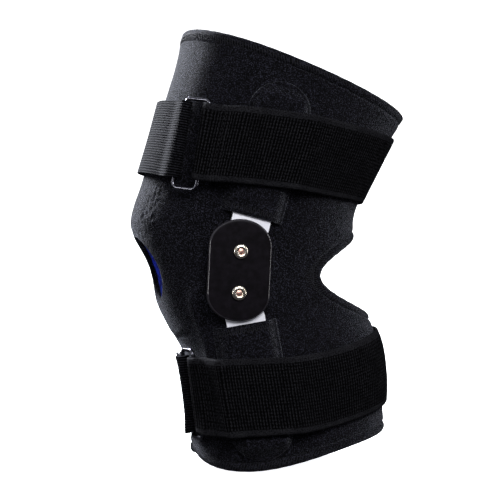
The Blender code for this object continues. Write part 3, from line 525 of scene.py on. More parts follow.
def sleeve_wrinkles(points):
    """Folds of the sleeve where it bends: puckers above the kneecap, a crease below it."""
    side = np.stack([points[..., 0], -np.abs(points[..., 1]), points[..., 2]], axis=-1)
    over = np.array([-54, -24, 44]) * MM
    near = bump_at(np.linalg.norm(side - over, axis=-1), 15 * MM)
    puckers = -2.2 * MM * near * np.abs(noise_of(points * np.array([1, 1, 1.5]), 4.0 * MM))
    seen_flat = side[..., [0, 2]]
    beside = smooth(side[..., 1], -20 * MM, -30 * MM)
    ridge = ((-28, -14), (-27, -23), (-22, -37), (-18, -47), (-16, -56))
    fold = beside * crease_relief(seen_flat, ridge, 2.8 * MM, 2.3 * MM)
    valley = beside * crease_relief(seen_flat - np.array([5, 0]) * MM, ridge, 3.0 * MM, -1.1 * MM)
    notch = crease_relief(side, ((-33, -8, -44), (-33, -22, -43), (-29, -34, -40)), 1.6 * MM, -0.9 * MM)
    lumps = 0.45 * MM * noise_of(points, 34 * MM) + 0.12 * MM * noise_of(points, 7 * MM)
    return puckers + fold + valley + notch + lumps


def half_columns(upper):
    """Angle and near height of each column of a sleeve half, which starts at the openings."""
    quarter = math.pi / 2
    front_turns = np.linspace(-quarter, quarter, 70)
    back_turns = np.linspace(quarter, -quarter, 90)
    if not upper:
        front_turns, back_turns = math.pi - front_turns, math.pi - back_turns
    front = patella_line(front_turns)
    back = popliteal_line(back_turns)
    back_angles = np.where(back[0] < 0, back[0] + 2 * math.pi, back[0])
    between = 88
    share = np.linspace(0, 1, between + 2)[1:-1]
    ease = share * share * (3 - 2 * share)
    lateral_angles = front[0][-1] + (back_angles[0] - front[0][-1]) * share
    lateral_heights = front[1][-1] + (back[1][0] - front[1][-1]) * ease
    medial_angles = back_angles[-1] + (front[0][0] + 2 * math.pi - back_angles[-1]) * share
    medial_heights = back[1][-1] + (front[1][0] - back[1][-1]) * ease
    angles = np.concatenate([front[0], lateral_angles, back_angles, medial_angles])
    heights = np.concatenate([front[1], lateral_heights, back[1], medial_heights])
    return angles, heights


def row_shares():
    """Shares of the way from the openings to the end, closer together beside both hems."""
    hem = np.concatenate([[0, 0.35, 0.8, 1.3], np.arange(2.0, 9.2, 0.6)]) * MM
    length = 122 * MM
    middle = np.linspace(hem[-1], length - hem[-1], 84)
    return np.concatenate([hem[:-1], middle, (length - hem[:-1])[::-1]]) / length


def build_sleeve_half(name, upper, nodes):
    angles, near = half_columns(upper)
    far = thigh_rim(angles) if upper else calf_rim(angles)
    shares = row_shares()[:, None]
    heights = near + (far - near) * shares
    angles = np.broadcast_to(angles, heights.shape)
    base = sleeve_surface(angles, heights)
    distance = rim_distance(base)
    plain = beside_kneecap(base)
    relief = hem_relief(distance) * (1 - plain) + edge_rounding(distance) * plain
    relief += sleeve_wrinkles(base) * smooth(distance, 1 * MM, 8 * MM)
    outer = sleeve_surface(angles, heights, relief)
    inner = sleeve_surface(angles, heights, -SLEEVE_THICKNESS - edge_rounding(distance))
    mesh = shell_from_grids(name, outer, inner, closed=True)
    bind_edges(mesh, distance)
    shade(mesh)
    piece = object_from(name, mesh, ["pile", "lining"])
    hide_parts(*nodes)
    bend_with_hinge(piece, upper)


def bind_edges(mesh, distance):
    """The outer cloth also covers the inside of every edge."""
    near = np.concatenate([distance.ravel()] * 2) < BINDING_WIDTH
    for face in mesh.polygons:
        if near[list(face.vertices)].all():
            face.material_index = 0


def bend_with_hinge(piece, upper):
    if upper:
        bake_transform(piece)
    else:
        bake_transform(piece)


# ---------------------------------------------------------------- sewing


def tube_points(path, radius, sides=6):
    """Rings of points round a short path, closing to a point at both ends."""
    path = np.asarray(path, float)
    tangents = np.gradient(path, axis=0)
    tangents /= np.linalg.norm(tangents, axis=1, keepdims=True)
    helper = np.array([0.31, 0.87, 0.38])
    across = np.cross(tangents, helper)
    across /= np.linalg.norm(across, axis=1, keepdims=True)
    other = np.cross(tangents, across)
    turns = full_turn(sides)
    sizes = radius * np.sqrt(1 - np.linspace(-0.94, 0.94, len(path)) ** 6)
    ring = across[:, None] * np.cos(turns)[:, None] + other[:, None] * np.sin(turns)[:, None]
    return path[:, None] + ring * sizes[:, None, None]


def threads_piece(name, paths, radius, material="thread", sides=6):
    """Many short threads as one piece; each is a closed tube."""
    points, faces, start = [], [], 0
    for path in paths:
        rings = tube_points(path, radius, sides)
        rows = len(rings)
        ends = np.stack([np.asarray(path[0]), np.asarray(path[-1])])
        points += [rings.reshape(-1, 3), ends]
        faces += grid_faces(rows, sides, True, start).tolist()
        first, last = start + rows * sides, start + rows * sides + 1
        for i in range(sides):
            j = (i + 1) % sides
            faces.append((start + i, first, start + j))
            faces.append((start + (rows - 1) * sides + i, start + (rows - 1) * sides + j, last))
        start += rows * sides + 2
    mesh = bpy.data.meshes.new(name)
    mesh.from_pydata(np.concatenate(points).tolist(), [], faces)
    make_solid_face_out(mesh)
    mesh.shade_smooth()
    return object_from(name, mesh, [material])


def sewn_paths(line, insets, pitch, slant, lift):
    """Short threads across a hem: each runs between two insets of an edge line, arched a little."""
    count = line_count(line, pitch)
    near = line(count, insets[0])
    far = line(count, insets[1])
    paths = []
    steps = np.linspace(0, 1, 5)
    for i in range(count):
        j = (i + slant) % count
        turn = math.remainder(far[0][j] - near[0][i], 2 * math.pi)
        angles = near[0][i] + turn * steps
        heights = near[1][i] + (far[1][j] - near[1][i]) * steps
        inset = insets[0] + (insets[1] - insets[0]) * steps
        rise = hem_relief(inset) + lift * np.sin(math.pi * steps) - 0.1 * MM
        paths.append(sleeve_surface(angles, heights, rise))
    return paths


def seam_paths(line, inset, pitch, fill, depth):
    """Running stitches along an edge line at one inset."""
    count = line_count(line, pitch / 4)
    count -= count % 4
    angles, heights = line(count, inset)
    long = max(2, round(4 * fill))
    paths = []
    for i in range(0, count, 4):
        index = np.arange(i, i + long + 1) % count
        turns = np.unwrap(angles[index])
        arch = np.sin(np.linspace(0, math.pi, len(index)))
        paths.append(sleeve_surface(turns, heights[index], depth + 0.25 * MM * arch))
    return paths


def line_count(line, pitch):
    points = sleeve_surface(*line(200, 3 * MM))
    length = np.linalg.norm(points - np.roll(points, 1, axis=0), axis=1).sum()
    return round(length / pitch)


def opening_edge(line):
    return lambda count, inset: line(full_turn(count), inset)


def build_hem_stitches():
    """Overlock threads and a seam along each edge, in one piece for each half of the sleeve."""
    edges = [thigh_rim_line, opening_edge(popliteal_line), calf_rim_line]
    paths = []
    for edge in edges:
        paths += sewn_paths(edge, (1.3 * MM, 5.0 * MM), STITCH_PITCH, 1, 0.1 * MM)
        paths += seam_paths(edge, HEM_WIDTH, 3.2 * MM, 0.8, -0.75 * MM)
    for upper in (True, False):
        own = [path for path in paths if (np.mean(path[:, 2]) > 0) == upper]
        name = "hem_stitches_upper" if upper else "hem_stitches_lower"
        piece = threads_piece(name, own, THREAD_RADIUS)
        bend_with_hinge(piece, upper)


# ---------------------------------------------------------------- straps


def thigh_strap_height(angle):
    """Height of the strap's centre line, which dips a little where the ring pulls on it."""
    from_ring = math.remainder(angle - THIGH_STRAP_ANGLES[0], 2 * math.pi)
    dip = THIGH_STRAP_DIP * math.exp(-((from_ring / THIGH_STRAP_DIP_SPREAD) ** 2))
    return THIGH_STRAP_HEIGHT + THIGH_STRAP_BACK_RISE * back_share(angle) ** 2 - dip


def calf_strap_height(angle):
    return CALF_STRAP_HEIGHT + CALF_STRAP_BACK_RISE * back_share(angle) ** CALF_STRAP_RISE_POWER


def strap_point(height_of, angle, across, offset):
    """A point on a strap: across is its distance above the centre line, offset from the sleeve."""
    centre = height_of(angle)
    rise = 1 * MM
    stretch = (sleeve_point(angle, centre + rise) - sleeve_point(angle, centre - rise)).length / (2 * rise)
    return sleeve_point(angle, centre + across / stretch, offset)


def pocket_flare(beyond_pivot):
    """How far the bent upper bar has moved out at a distance along it."""
    return max(beyond_pivot - BAR_BEND_AT, 0) * math.tan(BAR_BEND_ANGLE)


def taut_outline(height_of, across):
    """The convex outline that the elastic takes, seen from above, and the middle of it."""
    key = (height_of.__name__, across)
    if key not in taut_outlines:
        points = [strap_point(height_of, turn, across, ELASTIC_OFFSET).xy for turn in full_turn(120)]
        side = strap_point(height_of, math.pi / 2, across, 0)
        middle = side_line_x(side.z)
        flare = pocket_flare(side.z / math.cos(UPPER_BAR_LEAN) - PIVOT_HALF_SPACING)
        face = POCKET_FACE + flare + ELASTIC_THICKNESS / 2 + POCKET_TO_STRAP
        half = POCKET_HALF_WIDTH + POCKET_TO_STRAP
        for edge in (BAR_SHIFT - half, BAR_SHIFT + half):
            points += [Vector((middle + edge, -face)), Vector((middle + edge, face))]
        hull = [points[i] for i in geometry.convex_hull_2d(points)]
        taut_outlines[key] = (hull + hull[:1], Vector((middle, 0)))
    return taut_outlines[key]


def taut_stop(height_of, angle, lift):
    """A stop on the elastic where it is stretched over the sleeve and its pockets."""

    def place(across):
        below = strap_point(height_of, angle, across, ELASTIC_OFFSET)
        outline, centre = taut_outline(height_of, across)
        direction = (below.xy - centre).normalized()
        far = centre + direction * 5 * MEAN_RADIUS
        hits = [geometry.intersect_line_line_2d(centre, far, a, b) for a, b in zip(outline, outline[1:])]
        reach = max((hit - centre).length for hit in hits if hit)
        spot = centre + direction * (reach + lift)
        return Vector((spot.x, spot.y, below.z))

    return place


def sleeve_stop(height_of, angle, offset):
    return lambda across: strap_point(height_of, angle, across, offset)


def ring_frame(height_of, angle):
    return surface_frame(angle, height_of(angle), RING_OFFSET)


def bar_place(height_of, ring_angle, side):
    """Angle round the leg and offset of a ring's bar: side is +1 for the bar further round."""
    centre, around, _, _ = ring_frame(height_of, ring_angle)
    target = centre + around * side * (RING_WIDTH / 2 - RING_WIRE_RADIUS)
    angle = ring_angle
    for _ in range(8):
        point, direction, _, outwards = surface_frame(angle, height_of(angle))
        angle += (target - point).dot(direction) / MEAN_RADIUS
    return angle, (target - point).dot(outwards)


def turn_stops(height_of, ring_angle, side, radius, count=12):
    """Stops of a strap's turn round a ring's straight bar, from under it to over it."""
    centre, around, upwards, outwards = ring_frame(height_of, ring_angle)
    bar = centre + around * side * (RING_WIDTH / 2 - RING_WIRE_RADIUS)
    stops = []
    for i in range(count + 1):
        turn = -math.pi / 2 + math.pi * i / count
        place = bar - around * side * radius * math.cos(turn) + outwards * radius * math.sin(turn)
        stops.append(lambda across, place=place: place + upwards * across)
    return stops


def eased_stops(stops, height_of, make_stop):
    """Stops between (angle, offset) pairs, with the offset easing from pair to pair."""
    pace = math.radians(2.5)
    made = []
    for (start, low), (end, high) in zip(stops, stops[1:]):
        count = max(2, round(abs(end - start) / pace))
        for i in range(1, count + 1):
            share = i / count
            ease = share * share * (3 - 2 * share)
            made.append(make_stop(height_of, start + (end - start) * share, low + (high - low) * ease))
    return made


def elastic_path(height_of, ring_angle, end_angle):
    """From the folded-back end under the strap, round the ring's rear bar and round the leg."""
    bar_angle, bar_offset = bar_place(height_of, ring_angle, 1)
    fold_end = bar_angle + FOLD_ANGLE
    under = [
        (bar_angle, bar_offset - ELASTIC_TURN_RADIUS),
        (bar_angle + FOLD_EASE_ANGLE, ELASTIC_OFFSET),
        (fold_end, ELASTIC_OFFSET),
    ]
    over = [
        (bar_angle, bar_offset + ELASTIC_TURN_RADIUS - ELASTIC_OFFSET),
        (bar_angle + LIFT_EASE_ANGLE, ELASTIC_LIFT),
        (fold_end + LIFT_MARGIN_ANGLE, ELASTIC_LIFT),
        (fold_end + LIFT_END_ANGLE, 0),
        (end_angle, 0),
    ]
    fold = eased_stops(under, height_of, sleeve_stop)
    turn = turn_stops(height_of, ring_angle, 1, ELASTIC_TURN_RADIUS)
    return fold[::-1] + turn + eased_stops(over, height_of, taut_stop)


def tab_path(height_of, ring_angle, start_angle, end_angle):
    """From its joint with the elastic, round the ring's front bar and back over itself."""
    bar_angle, bar_offset = bar_place(height_of, ring_angle, -1)
    under = [
        (bar_angle, bar_offset - TAB_TURN_RADIUS - TAB_UNDER_DROP),
        (bar_angle - TAB_UNDER_ANGLE, TAB_OFFSET),
        (start_angle, TAB_OFFSET),
    ]
    over = [
        (bar_angle, bar_offset + TAB_TURN_RADIUS),
        (bar_angle - TAB_OVER_ANGLE, TAB_OUTER_OFFSET),
        (end_angle, TAB_OUTER_OFFSET),
    ]
    inner = eased_stops(under, height_of, sleeve_stop)
    turn = turn_stops(height_of, ring_angle, -1, TAB_TURN_RADIUS)
    return inner[::-1] + turn + eased_stops(over, height_of, sleeve_stop)


def strap_grid(path, step, lines):
    """The strap's middle face as a grid, step apart along it, with its places along and across."""
    coarse = np.linspace(-STRAP_WIDTH / 2, STRAP_WIDTH / 2, COARSE_LINES)
    stops = np.array([[stop(float(across)) for across in coarse] for stop in path])
    gaps = np.linalg.norm(np.diff(stops, axis=0), axis=-1).mean(axis=1)
    reach = np.concatenate([[0], np.cumsum(gaps)])
    kept = np.concatenate([[True], gaps > 1e-5])
    along = np.linspace(0, reach[-1], round(reach[-1] / step) + 1)
    kept_reach, kept_stops = reach[kept], stops[kept]
    grid = np.empty((len(along), COARSE_LINES, 3))
    for line in range(COARSE_LINES):
        for axis in range(3):
            grid[:, line, axis] = np.interp(along, kept_reach, kept_stops[:, line, axis])
    grid = smoothed_along(grid, STRAP_BLUR / step)
    across = np.linspace(-STRAP_WIDTH / 2, STRAP_WIDTH / 2, lines)
    fine = np.array([[np.interp(across, coarse, row[:, axis]) for axis in range(3)] for row in grid])
    return fine.transpose(0, 2, 1), along, across


def strap_shell(name, grid, along, across, thickness, relief):
    normals = normals_of(grid)
    edge = np.abs(across) > STRAP_WIDTH / 2 - 0.1 * MM
    half = thickness / 2 * np.where(edge, 0.45, 1.0)
    outer = grid + normals * (half + relief)[..., None]
    inner = grid - normals * (half + relief * 0.6)[..., None]
    uvs = np.stack(np.broadcast_arrays(along[:, None], across[None, :]), axis=-1)
    mesh = shell_from_grids(name, outer, inner, closed=False, uvs=uvs)
    shade(mesh, math.radians(75))
    return mesh


def build_elastic(prefix, height_of, ring_angle, joint_angle, body):
    gap = 0.5 * MM / MEAN_RADIUS
    path = elastic_path(height_of, ring_angle, joint_angle + 2 * math.pi - gap)
    grid, along, across = strap_grid(path, ELASTIC_RIB_PITCH / 4, ELASTIC_LINES)
    ribs = 0.5 + 0.5 * np.cos(2 * math.pi * along / ELASTIC_RIB_PITCH)
    from_edge = STRAP_WIDTH / 2 - np.abs(across)
    body_share = smooth(from_edge, SELVEDGE - 0.6 * MM, SELVEDGE + 0.6 * MM)
    relief = ELASTIC_RIB_HEIGHT * ribs[:, None] * (0.3 + 0.7 * body_share)[None, :]
    relief += 0.12 * MM * (1 - body_share)[None, :]
    for row in elastic_stitch_rows():
        relief = relief - 0.45 * MM * bump_at(along - row, 0.5 * MM)[:, None]
    name = prefix + "_strap_elastic_cloth"
    mesh = strap_shell(name, grid, along, across, ELASTIC_THICKNESS, relief)
    piece = object_from(name, mesh, ["elastic", "elastic"])
    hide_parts(prefix + "_strap_elastic")
    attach(piece, body)
    build_elastic_stitches(prefix, grid, along, across, body)


def elastic_stitch_rows():
    """Distances from the strap's folded end at which the fold is sewn down, over the ring's turn."""
    turn_length = math.pi * ELASTIC_TURN_RADIUS
    return [FOLD_LENGTH + turn_length + beyond for beyond in FOLD_STITCH_ROWS]


def build_elastic_stitches(prefix, grid, along, across, body):
    normals = normals_of(grid)
    paths = []
    columns = range(2, len(across) - 3, 3)
    for row in elastic_stitch_rows():
        i = int(np.argmin(np.abs(along - row)))
        for j in columns:
            index = np.arange(j, j + 3)
            paths.append(grid[i, index] + normals[i, index] * (ELASTIC_THICKNESS / 2 + 0.1 * MM))
    piece = threads_piece(prefix + "_strap_stitches", paths, THREAD_RADIUS)
    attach(piece, body)


def build_tab(prefix, height_of, ring_angle, joint_angle, end_angle, body):
    path = tab_path(height_of, ring_angle, joint_angle, end_angle)
    grid, along, across = strap_grid(path, TAB_WEAVE_PITCH / 2, TAB_LINES)
    ribs = np.cos(2 * math.pi * across / TAB_RIB_PITCH)
    weave = np.cos(2 * math.pi * along / TAB_WEAVE_PITCH)
    relief = TAB_RIB_HEIGHT * (0.5 + 0.5 * ribs)[None, :] * (0.85 + 0.15 * weave)[:, None]
    name = prefix + "_strap_hook_tab_webbing"
    mesh = strap_shell(name, grid, along, across, TAB_THICKNESS, relief)
    piece = object_from(name, mesh, ["webbing", "webbing"])
    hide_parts(prefix + "_strap_hook_tab")
    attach(piece, body)


def build_ring(prefix, height_of, ring_angle, drop, body):
    """The wire ring: a rounded rectangle that hangs a little low on its strap."""
    centre, around, upwards, _ = ring_frame(height_of, ring_angle)
    centre = centre - upwards * drop
    half_width = RING_WIDTH / 2 - RING_WIRE_RADIUS
    half_height = RING_HEIGHT / 2 - RING_WIRE_RADIUS
    steps = 12
    curve = bpy.data.curves.new(prefix + "_ring_wire", "CURVE")
    curve.dimensions = "3D"
    curve.bevel_depth = RING_WIRE_RADIUS
    curve.bevel_resolution = 5
    spline = curve.splines.new("POLY")
    corners = ((1, 1), (-1, 1), (-1, -1), (1, -1))
    spline.points.add(len(corners) * (steps + 1) - 1)
    spline.use_cyclic_u = True
    index = 0
    for quarter, (across_sign, up_sign) in enumerate(corners):
        for i in range(steps + 1):
            turn = math.pi / 2 * (quarter + i / steps)
            across = across_sign * (half_width - RING_CORNER) + RING_CORNER * math.cos(turn)
            up = up_sign * (half_height - RING_CORNER) + RING_CORNER * math.sin(turn)
            spline.points[index].co = (*(centre + around * across + upwards * up), 1)
            index += 1
    wire = bpy.data.objects.new(prefix + "_ring_curve", curve)
    bpy.context.scene.collection.objects.link(wire)
    bpy.context.view_layer.update()
    mesh = bpy.data.meshes.new_from_object(wire.evaluated_get(bpy.context.evaluated_depsgraph_get()))
    bpy.data.objects.remove(wire)
    mesh.materials.clear()
    mesh.shade_smooth()
    piece = object_from(prefix + "_ring_wire", mesh, ["gunmetal"])
    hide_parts(prefix + "_ring")
    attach(piece, body)


def build_straps():
    for prefix, height_of, angles, drop in (
        ("thigh", thigh_strap_height, THIGH_STRAP_ANGLES, THIGH_RING_DROP),
        ("calf", calf_strap_height, CALF_STRAP_ANGLES, CALF_RING_DROP),
    ):
        ring_angle, joint_angle, tab_end = angles
        build_elastic(prefix, height_of, ring_angle, joint_angle, prefix)
        build_tab(prefix, height_of, ring_angle, joint_angle, tab_end, prefix)
        build_ring(prefix, height_of, ring_angle, drop, prefix + "_ring")


# ---------------------------------------------------------------- hinge


def pivot_of(upper):
    """Place of a pivot in the plates' own XY plane."""
    away = 1 if upper else -1
    return Vector((math.sin(HINGE_TILT), math.cos(HINGE_TILT))) * PIVOT_HALF_SPACING * away


def oblong(half_width, half_height, end_rise, count=40):
    """Points round an oblong with half-ellipse ends that leans with the hinge."""
    straight = half_height - end_rise
    points = []
    for end in (1, -1):
        for i in range(count + 1):
            turn = math.pi * i / count
            x = half_width * math.cos(turn) * end
            y = (straight + end_rise * math.sin(turn)) * end
            points.append(Matrix.Rotation(-HINGE_TILT, 2) @ Vector((x, y)))
    return np.array(points)


def lathe_profile_piece(name, profile, upper, materials_used, slot_of, side):
    """A turned piece on a pivot: the profile's points are (radius, distance from the middle)."""
    steps = 48
    turns = full_turn(steps)
    pivot = pivot_of(upper)
    points = []
    for radius, height in profile:
        for turn in turns:
            points.append((pivot.x + radius * math.cos(turn), pivot.y + radius * math.sin(turn), height))
    faces = grid_faces(len(profile), steps, True).tolist()
    slots = [slot_of(profile[k // steps][0]) for k in range(len(faces))]
    last = (len(profile) - 1) * steps
    faces += [tuple(range(steps)), tuple(range(last, last + steps))]
    slots += [slot_of(profile[0][0]), 0]
    mesh = bpy.data.meshes.new(name)
    mesh.from_pydata(points, [], faces)
    mesh.polygons.foreach_set("material_index", slots)
    return finish_side_piece(name, mesh, materials_used, side)


def finish_side_piece(name, mesh, materials_used, side, angle=math.radians(40)):
    """Stands a piece drawn in the plates' plane on the lateral or the medial side."""
    mesh.transform(PLATE_TO_WORLD)
    if side == "medial":
        mesh.transform(Matrix.Diagonal((1, -1, 1, 1)))
    make_solid_face_out(mesh)
    shade(mesh, angle)
    return object_from(name, mesh, materials_used)


def build_rivet(side, upper):
    """A polished round head with a sunk copper core, on its shank and spread tail."""
    end = "upper" if upper else "lower"
    base = COVER_OUTER + 0.3 * MM
    sunk = base + RIVET_HEAD_RISE - RIVET_DIMPLE_DEPTH
    profile = [(0.05 * MM, sunk + 0.25 * MM)]
    for i in range(1, 6):
        share = i / 5
        profile.append((RIVET_DIMPLE_RADIUS * share, sunk + 0.25 * MM * (1 - share**2)))
    swell = (RIVET_HEAD_RADIUS - RIVET_DIMPLE_RADIUS) / 2
    for i in range(1, 17):
        turn = math.pi * i / 16
        radius = RIVET_HEAD_RADIUS - swell * (1 + math.cos(turn))
        low = sunk + (base + 0.3 * MM - sunk) * i / 16
        profile.append((radius, low + (RIVET_HEAD_RISE - 0.75 * MM) * math.sin(turn)))
    profile += [
        (RIVET_HEAD_RADIUS - 0.1 * MM, base),
        (RIVET_SHANK_RADIUS, base),
        (RIVET_SHANK_RADIUS, RIVET_TAIL + 0.7 * MM),
        (RIVET_TAIL_RADIUS, RIVET_TAIL),
        (0.05 * MM, RIVET_TAIL),
    ]
    node = f"{side}_{end}_rivet"
    in_dimple = RIVET_DIMPLE_RADIUS * 0.95
    piece = lathe_profile_piece(
        node + "_polished", profile, upper, ["rivet", "rivet_core"], lambda r: int(r < in_dimple), side
    )
    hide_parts(node)
    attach(piece, "hinge")


def cover_layers():
    """Inset and height of each outline of the cover plate, from its inner face over its round rim."""
    layers = [(0.0, COVER_INNER), (0.0, COVER_OUTER - COVER_EDGE_ROUND)]
    for i in range(1, 9):
        turn = math.pi / 2 * i / 8
        inset = COVER_EDGE_ROUND * (1 - math.cos(turn))
        layers.append((inset, COVER_OUTER - COVER_EDGE_ROUND * (1 - math.sin(turn))))
    layers.append((COVER_EDGE_ROUND + 0.7 * MM, COVER_OUTER))
    return layers


def join_rings(solid, low, high):
    for i in range(len(low)):
        j = (i + 1) % len(low)
        solid.faces.new((low[i], low[j], high[j], high[i]))


def rivet_hole(solid, upper, height):
    pivot = pivot_of(upper)
    radius = RIVET_SHANK_RADIUS + 0.3 * MM
    return [
        solid.verts.new((pivot.x + radius * math.cos(turn), pivot.y + radius * math.sin(turn), height))
        for turn in full_turn(24)
    ]


def build_cover(side):
    """The black cover plate, with a rounded polished rim painted lighter as a painted highlight, and holes
    for the rivets.
    """
    plate = bmesh.new()
    lines = []
    for inset, height in cover_layers():
        outline = oblong(COVER_HALF_WIDTH - inset, COVER_HALF_HEIGHT - inset, COVER_END_RISE - inset)
        lines.append([plate.verts.new((x, y + COVER_LIFT, height)) for x, y in outline])
    for low, high in zip(lines, lines[1:]):
        join_rings(plate, low, high)
    holes = {}
    for face, line in (("inner", lines[0]), ("outer", lines[-1])):
        holes[face] = [rivet_hole(plate, upper, line[0].co.z) for upper in (True, False)]
        edges = [plate.edges.get(pair) for pair in zip(line, line[1:] + line[:1])]
        for ring in holes[face]:
            edges += [plate.edges.new(pair) for pair in zip(ring, ring[1:] + ring[:1])]
        bmesh.ops.triangle_fill(plate, edges=edges, use_beauty=True)
    for low, high in zip(holes["inner"], holes["outer"]):
        join_rings(plate, low, high)
    mesh = bpy.data.meshes.new(side + "_cover")
    plate.to_mesh(mesh)
    plate.free()
    # the rim faces take the rim material, whose lighter colour is a painted highlight along the edge
    flat = [1 if abs(p.normal.z) < 0.9 else 0 for p in mesh.polygons]
    mesh.polygons.foreach_set("material_index", flat)
    piece = finish_side_piece(side + "_cover_satin", mesh, ["cover", "cover_rim_painted_highlight"], side, math.radians(30))
    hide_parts(side + "_cover_plate")
    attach(piece, "hinge")


def build_condyle_pad(side):
    """A crowned foam pad: its faces swell between a seam that runs round its middle."""
    outline = oblong(PAD_HALF_WIDTH, PAD_HALF_HEIGHT, PAD_HALF_WIDTH, 30)
    middle = (PAD_INNER + PAD_OUTER) / 2
    half = (PAD_OUTER - PAD_INNER) / 2
    rings = []
    for share in (1.0, 0.985, 0.95, 0.88, 0.75, 0.55, 0.3, 0.08):
        swell = half * (1 - share**6) ** 0.5 * 0.94
        rings.append(np.column_stack([outline * share, np.full(len(outline), swell)]))
    count = len(outline)
    top = [ring + np.array([0, 0, middle]) for ring in rings]
    under = [ring * np.array([1, 1, -1]) + np.array([0, 0, middle]) for ring in rings[1:]]
    points = np.concatenate(under[::-1] + top)
    faces = grid_faces(len(under) + len(top), count, True).tolist()
    last = (len(under) + len(top) - 1) * count
    faces += [tuple(range(count)), tuple(range(last, last + count))]
    mesh = bpy.data.meshes.new(side + "_pad")
    mesh.from_pydata(points.tolist(), [], faces)
    piece = finish_side_piece(side + "_condyle_pad_foam", mesh, ["pad"], side)
    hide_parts(side + "_condyle_pad")
    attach(piece, "hinge")


def build_buttress():
    """The soft ring inside the sleeve round the kneecap opening."""
    turns = full_turn(120)
    y = (PATELLA_HALF_WIDTH + BUTTRESS_MARGIN) * np.sin(turns)
    reach = (PATELLA_TOP - PATELLA_BOTTOM) / 2 + BUTTRESS_MARGIN
    z = (PATELLA_TOP + PATELLA_BOTTOM) / 2 + reach * np.cos(turns)
    depth = -(SLEEVE_THICKNESS + BUTTRESS_RADIUS + BUTTRESS_GAP)
    centres = sleeve_surface(*facing_front_or_back(y, z, False, depth), depth)
    tangents = np.roll(centres, -1, axis=0) - np.roll(centres, 1, axis=0)
    tangents /= np.linalg.norm(tangents, axis=1, keepdims=True)
    across = np.cross(tangents, np.array([1.0, 0, 0]))
    across /= np.linalg.norm(across, axis=1, keepdims=True)
    other = np.cross(tangents, across)
    sides = 20
    round_turns = full_turn(sides)
    pleats = 1 + 0.04 * np.cos(turns * 40)
    ring = across[:, None] * np.cos(round_turns)[:, None] + other[:, None] * np.sin(round_turns)[:, None]
    points = centres[:, None] + ring * (BUTTRESS_RADIUS * pleats)[:, None, None]
    faces = grid_faces(len(turns) + 1, sides, True) % (len(turns) * sides)
    mesh = mesh_from("buttress", points, faces)
    make_solid_face_out(mesh)
    mesh.shade_smooth()
    piece = object_from("patella_buttress_foam", mesh, ["pad"])
    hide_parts("patella_buttress")
    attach(piece, "hinge")


# ---------------------------------------------------------------- pockets


def pocket_outline_distance(across, along, end):
    """Distance inside the pocket's outline, which is straight-sided with a round far end."""
    centre = end - POCKET_HALF_WIDTH
    beyond = np.maximum(along - centre, 0)
    return POCKET_HALF_WIDTH - np.hypot(across, beyond)


def pocket_grid(mouth, end):
    """Places across and along a pocket; the rows close up over its round end."""
    shares = np.linspace(-1, 1, POCKET_COLUMNS)
    centre = end - POCKET_HALF_WIDTH
    straight = np.linspace(mouth, centre, 90)[:-1]
    turns = np.linspace(0, math.pi / 2, 30)[:-1]
    half_widths = np.concatenate([np.full(len(straight), 1.0), np.cos(turns)]) * POCKET_HALF_WIDTH
    rows = np.concatenate([straight, centre + POCKET_HALF_WIDTH * np.sin(turns)])
    return half_widths[:, None] * shares, np.repeat(rows[:, None], POCKET_COLUMNS, axis=1)


def pocket_place(upper, across, along):
    """x and z of points on a pocket, which follows its bar."""
    lean = UPPER_BAR_LEAN if upper else math.pi + LOWER_BAR_LEAN
    turn = -lean if upper else lean
    pivot = pivot_of(upper)
    aside = across + (BAR_SHIFT if upper else -BAR_SHIFT)
    x = pivot.x + aside * math.cos(turn) - along * math.sin(turn)
    z = pivot.y + aside * math.sin(turn) + along * math.cos(turn)
    return x, z


def share_over_bar(across, along, bar_end):
    """1 where a pocket lies on its bar, easing to 0 where it lies on the sleeve."""
    beside = smooth(np.abs(across), BAR_HALF_WIDTH + POCKET_SLOPE, BAR_HALF_WIDTH - 0.5 * MM)
    return beside * smooth(along, bar_end + 7 * MM, bar_end - 2 * MM)


def build_pocket(side, upper):
    """The panel that is sewn over a bar: it bulges over the bar and lies on the sleeve beside it."""
    end_name = "upper" if upper else "lower"
    mouth, end = POCKET_MOUTH[end_name], POCKET_END[end_name]
    across, along = pocket_grid(mouth, end)
    inside = pocket_outline_distance(across, along, end)
    x, z = pocket_place(upper, across, along)
    angles, heights = facing_side(x, z)
    sleeve_y = -sleeve_surface(angles, heights)[..., 1]
    flare = np.maximum(along - BAR_BEND_AT, 0) * math.tan(BAR_BEND_ANGLE) if upper else 0
    over_bar = share_over_bar(across, along, end - POCKET_END_MARGIN)
    resting = sleeve_y + POCKET_LIFT
    face = resting + (np.maximum(POCKET_FACE + flare, resting) - resting) * over_bar
    from_edge = POCKET_EDGE_ROUND - np.clip(inside, 0, POCKET_EDGE_ROUND)
    face = face - POCKET_EDGE_ROUND + np.sqrt(POCKET_EDGE_ROUND**2 - from_edge**2)
    open_end = smooth(along, mouth + 3 * MM, mouth)
    face = face - POCKET_SEAM_DEPTH * bump_at(inside - POCKET_SEAM_INSET, 0.7 * MM) * (1 - open_end)
    face = face - POCKET_MOUTH_SEAM_DEPTH * bump_at(along - mouth - POCKET_MOUTH_SEAM, 0.8 * MM) * over_bar
    face = face + 0.07 * MM * noise_of(np.stack([x, face, z], -1), 1.4 * MM)
    back = np.maximum(face - POCKET_WALL, sleeve_y - 0.4 * MM)
    back = np.minimum(back, face - 0.3 * MM)
    sign = -1 if side == "lateral" else 1
    outer = np.stack([x, sign * face, z], axis=-1)
    inner = np.stack([x, sign * back, z], axis=-1)
    name = f"{side}_{end_name}_pocket_panel"
    mesh = shell_from_grids(name, outer, inner, closed=False)
    shade(mesh)
    piece = object_from(name, mesh, ["pile", "pile"])
    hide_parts(f"{side}_{end_name}_pocket")
    body = "thigh" if upper else "calf"
    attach(piece, body)
    build_pocket_stitches(name, outer, sign, body)


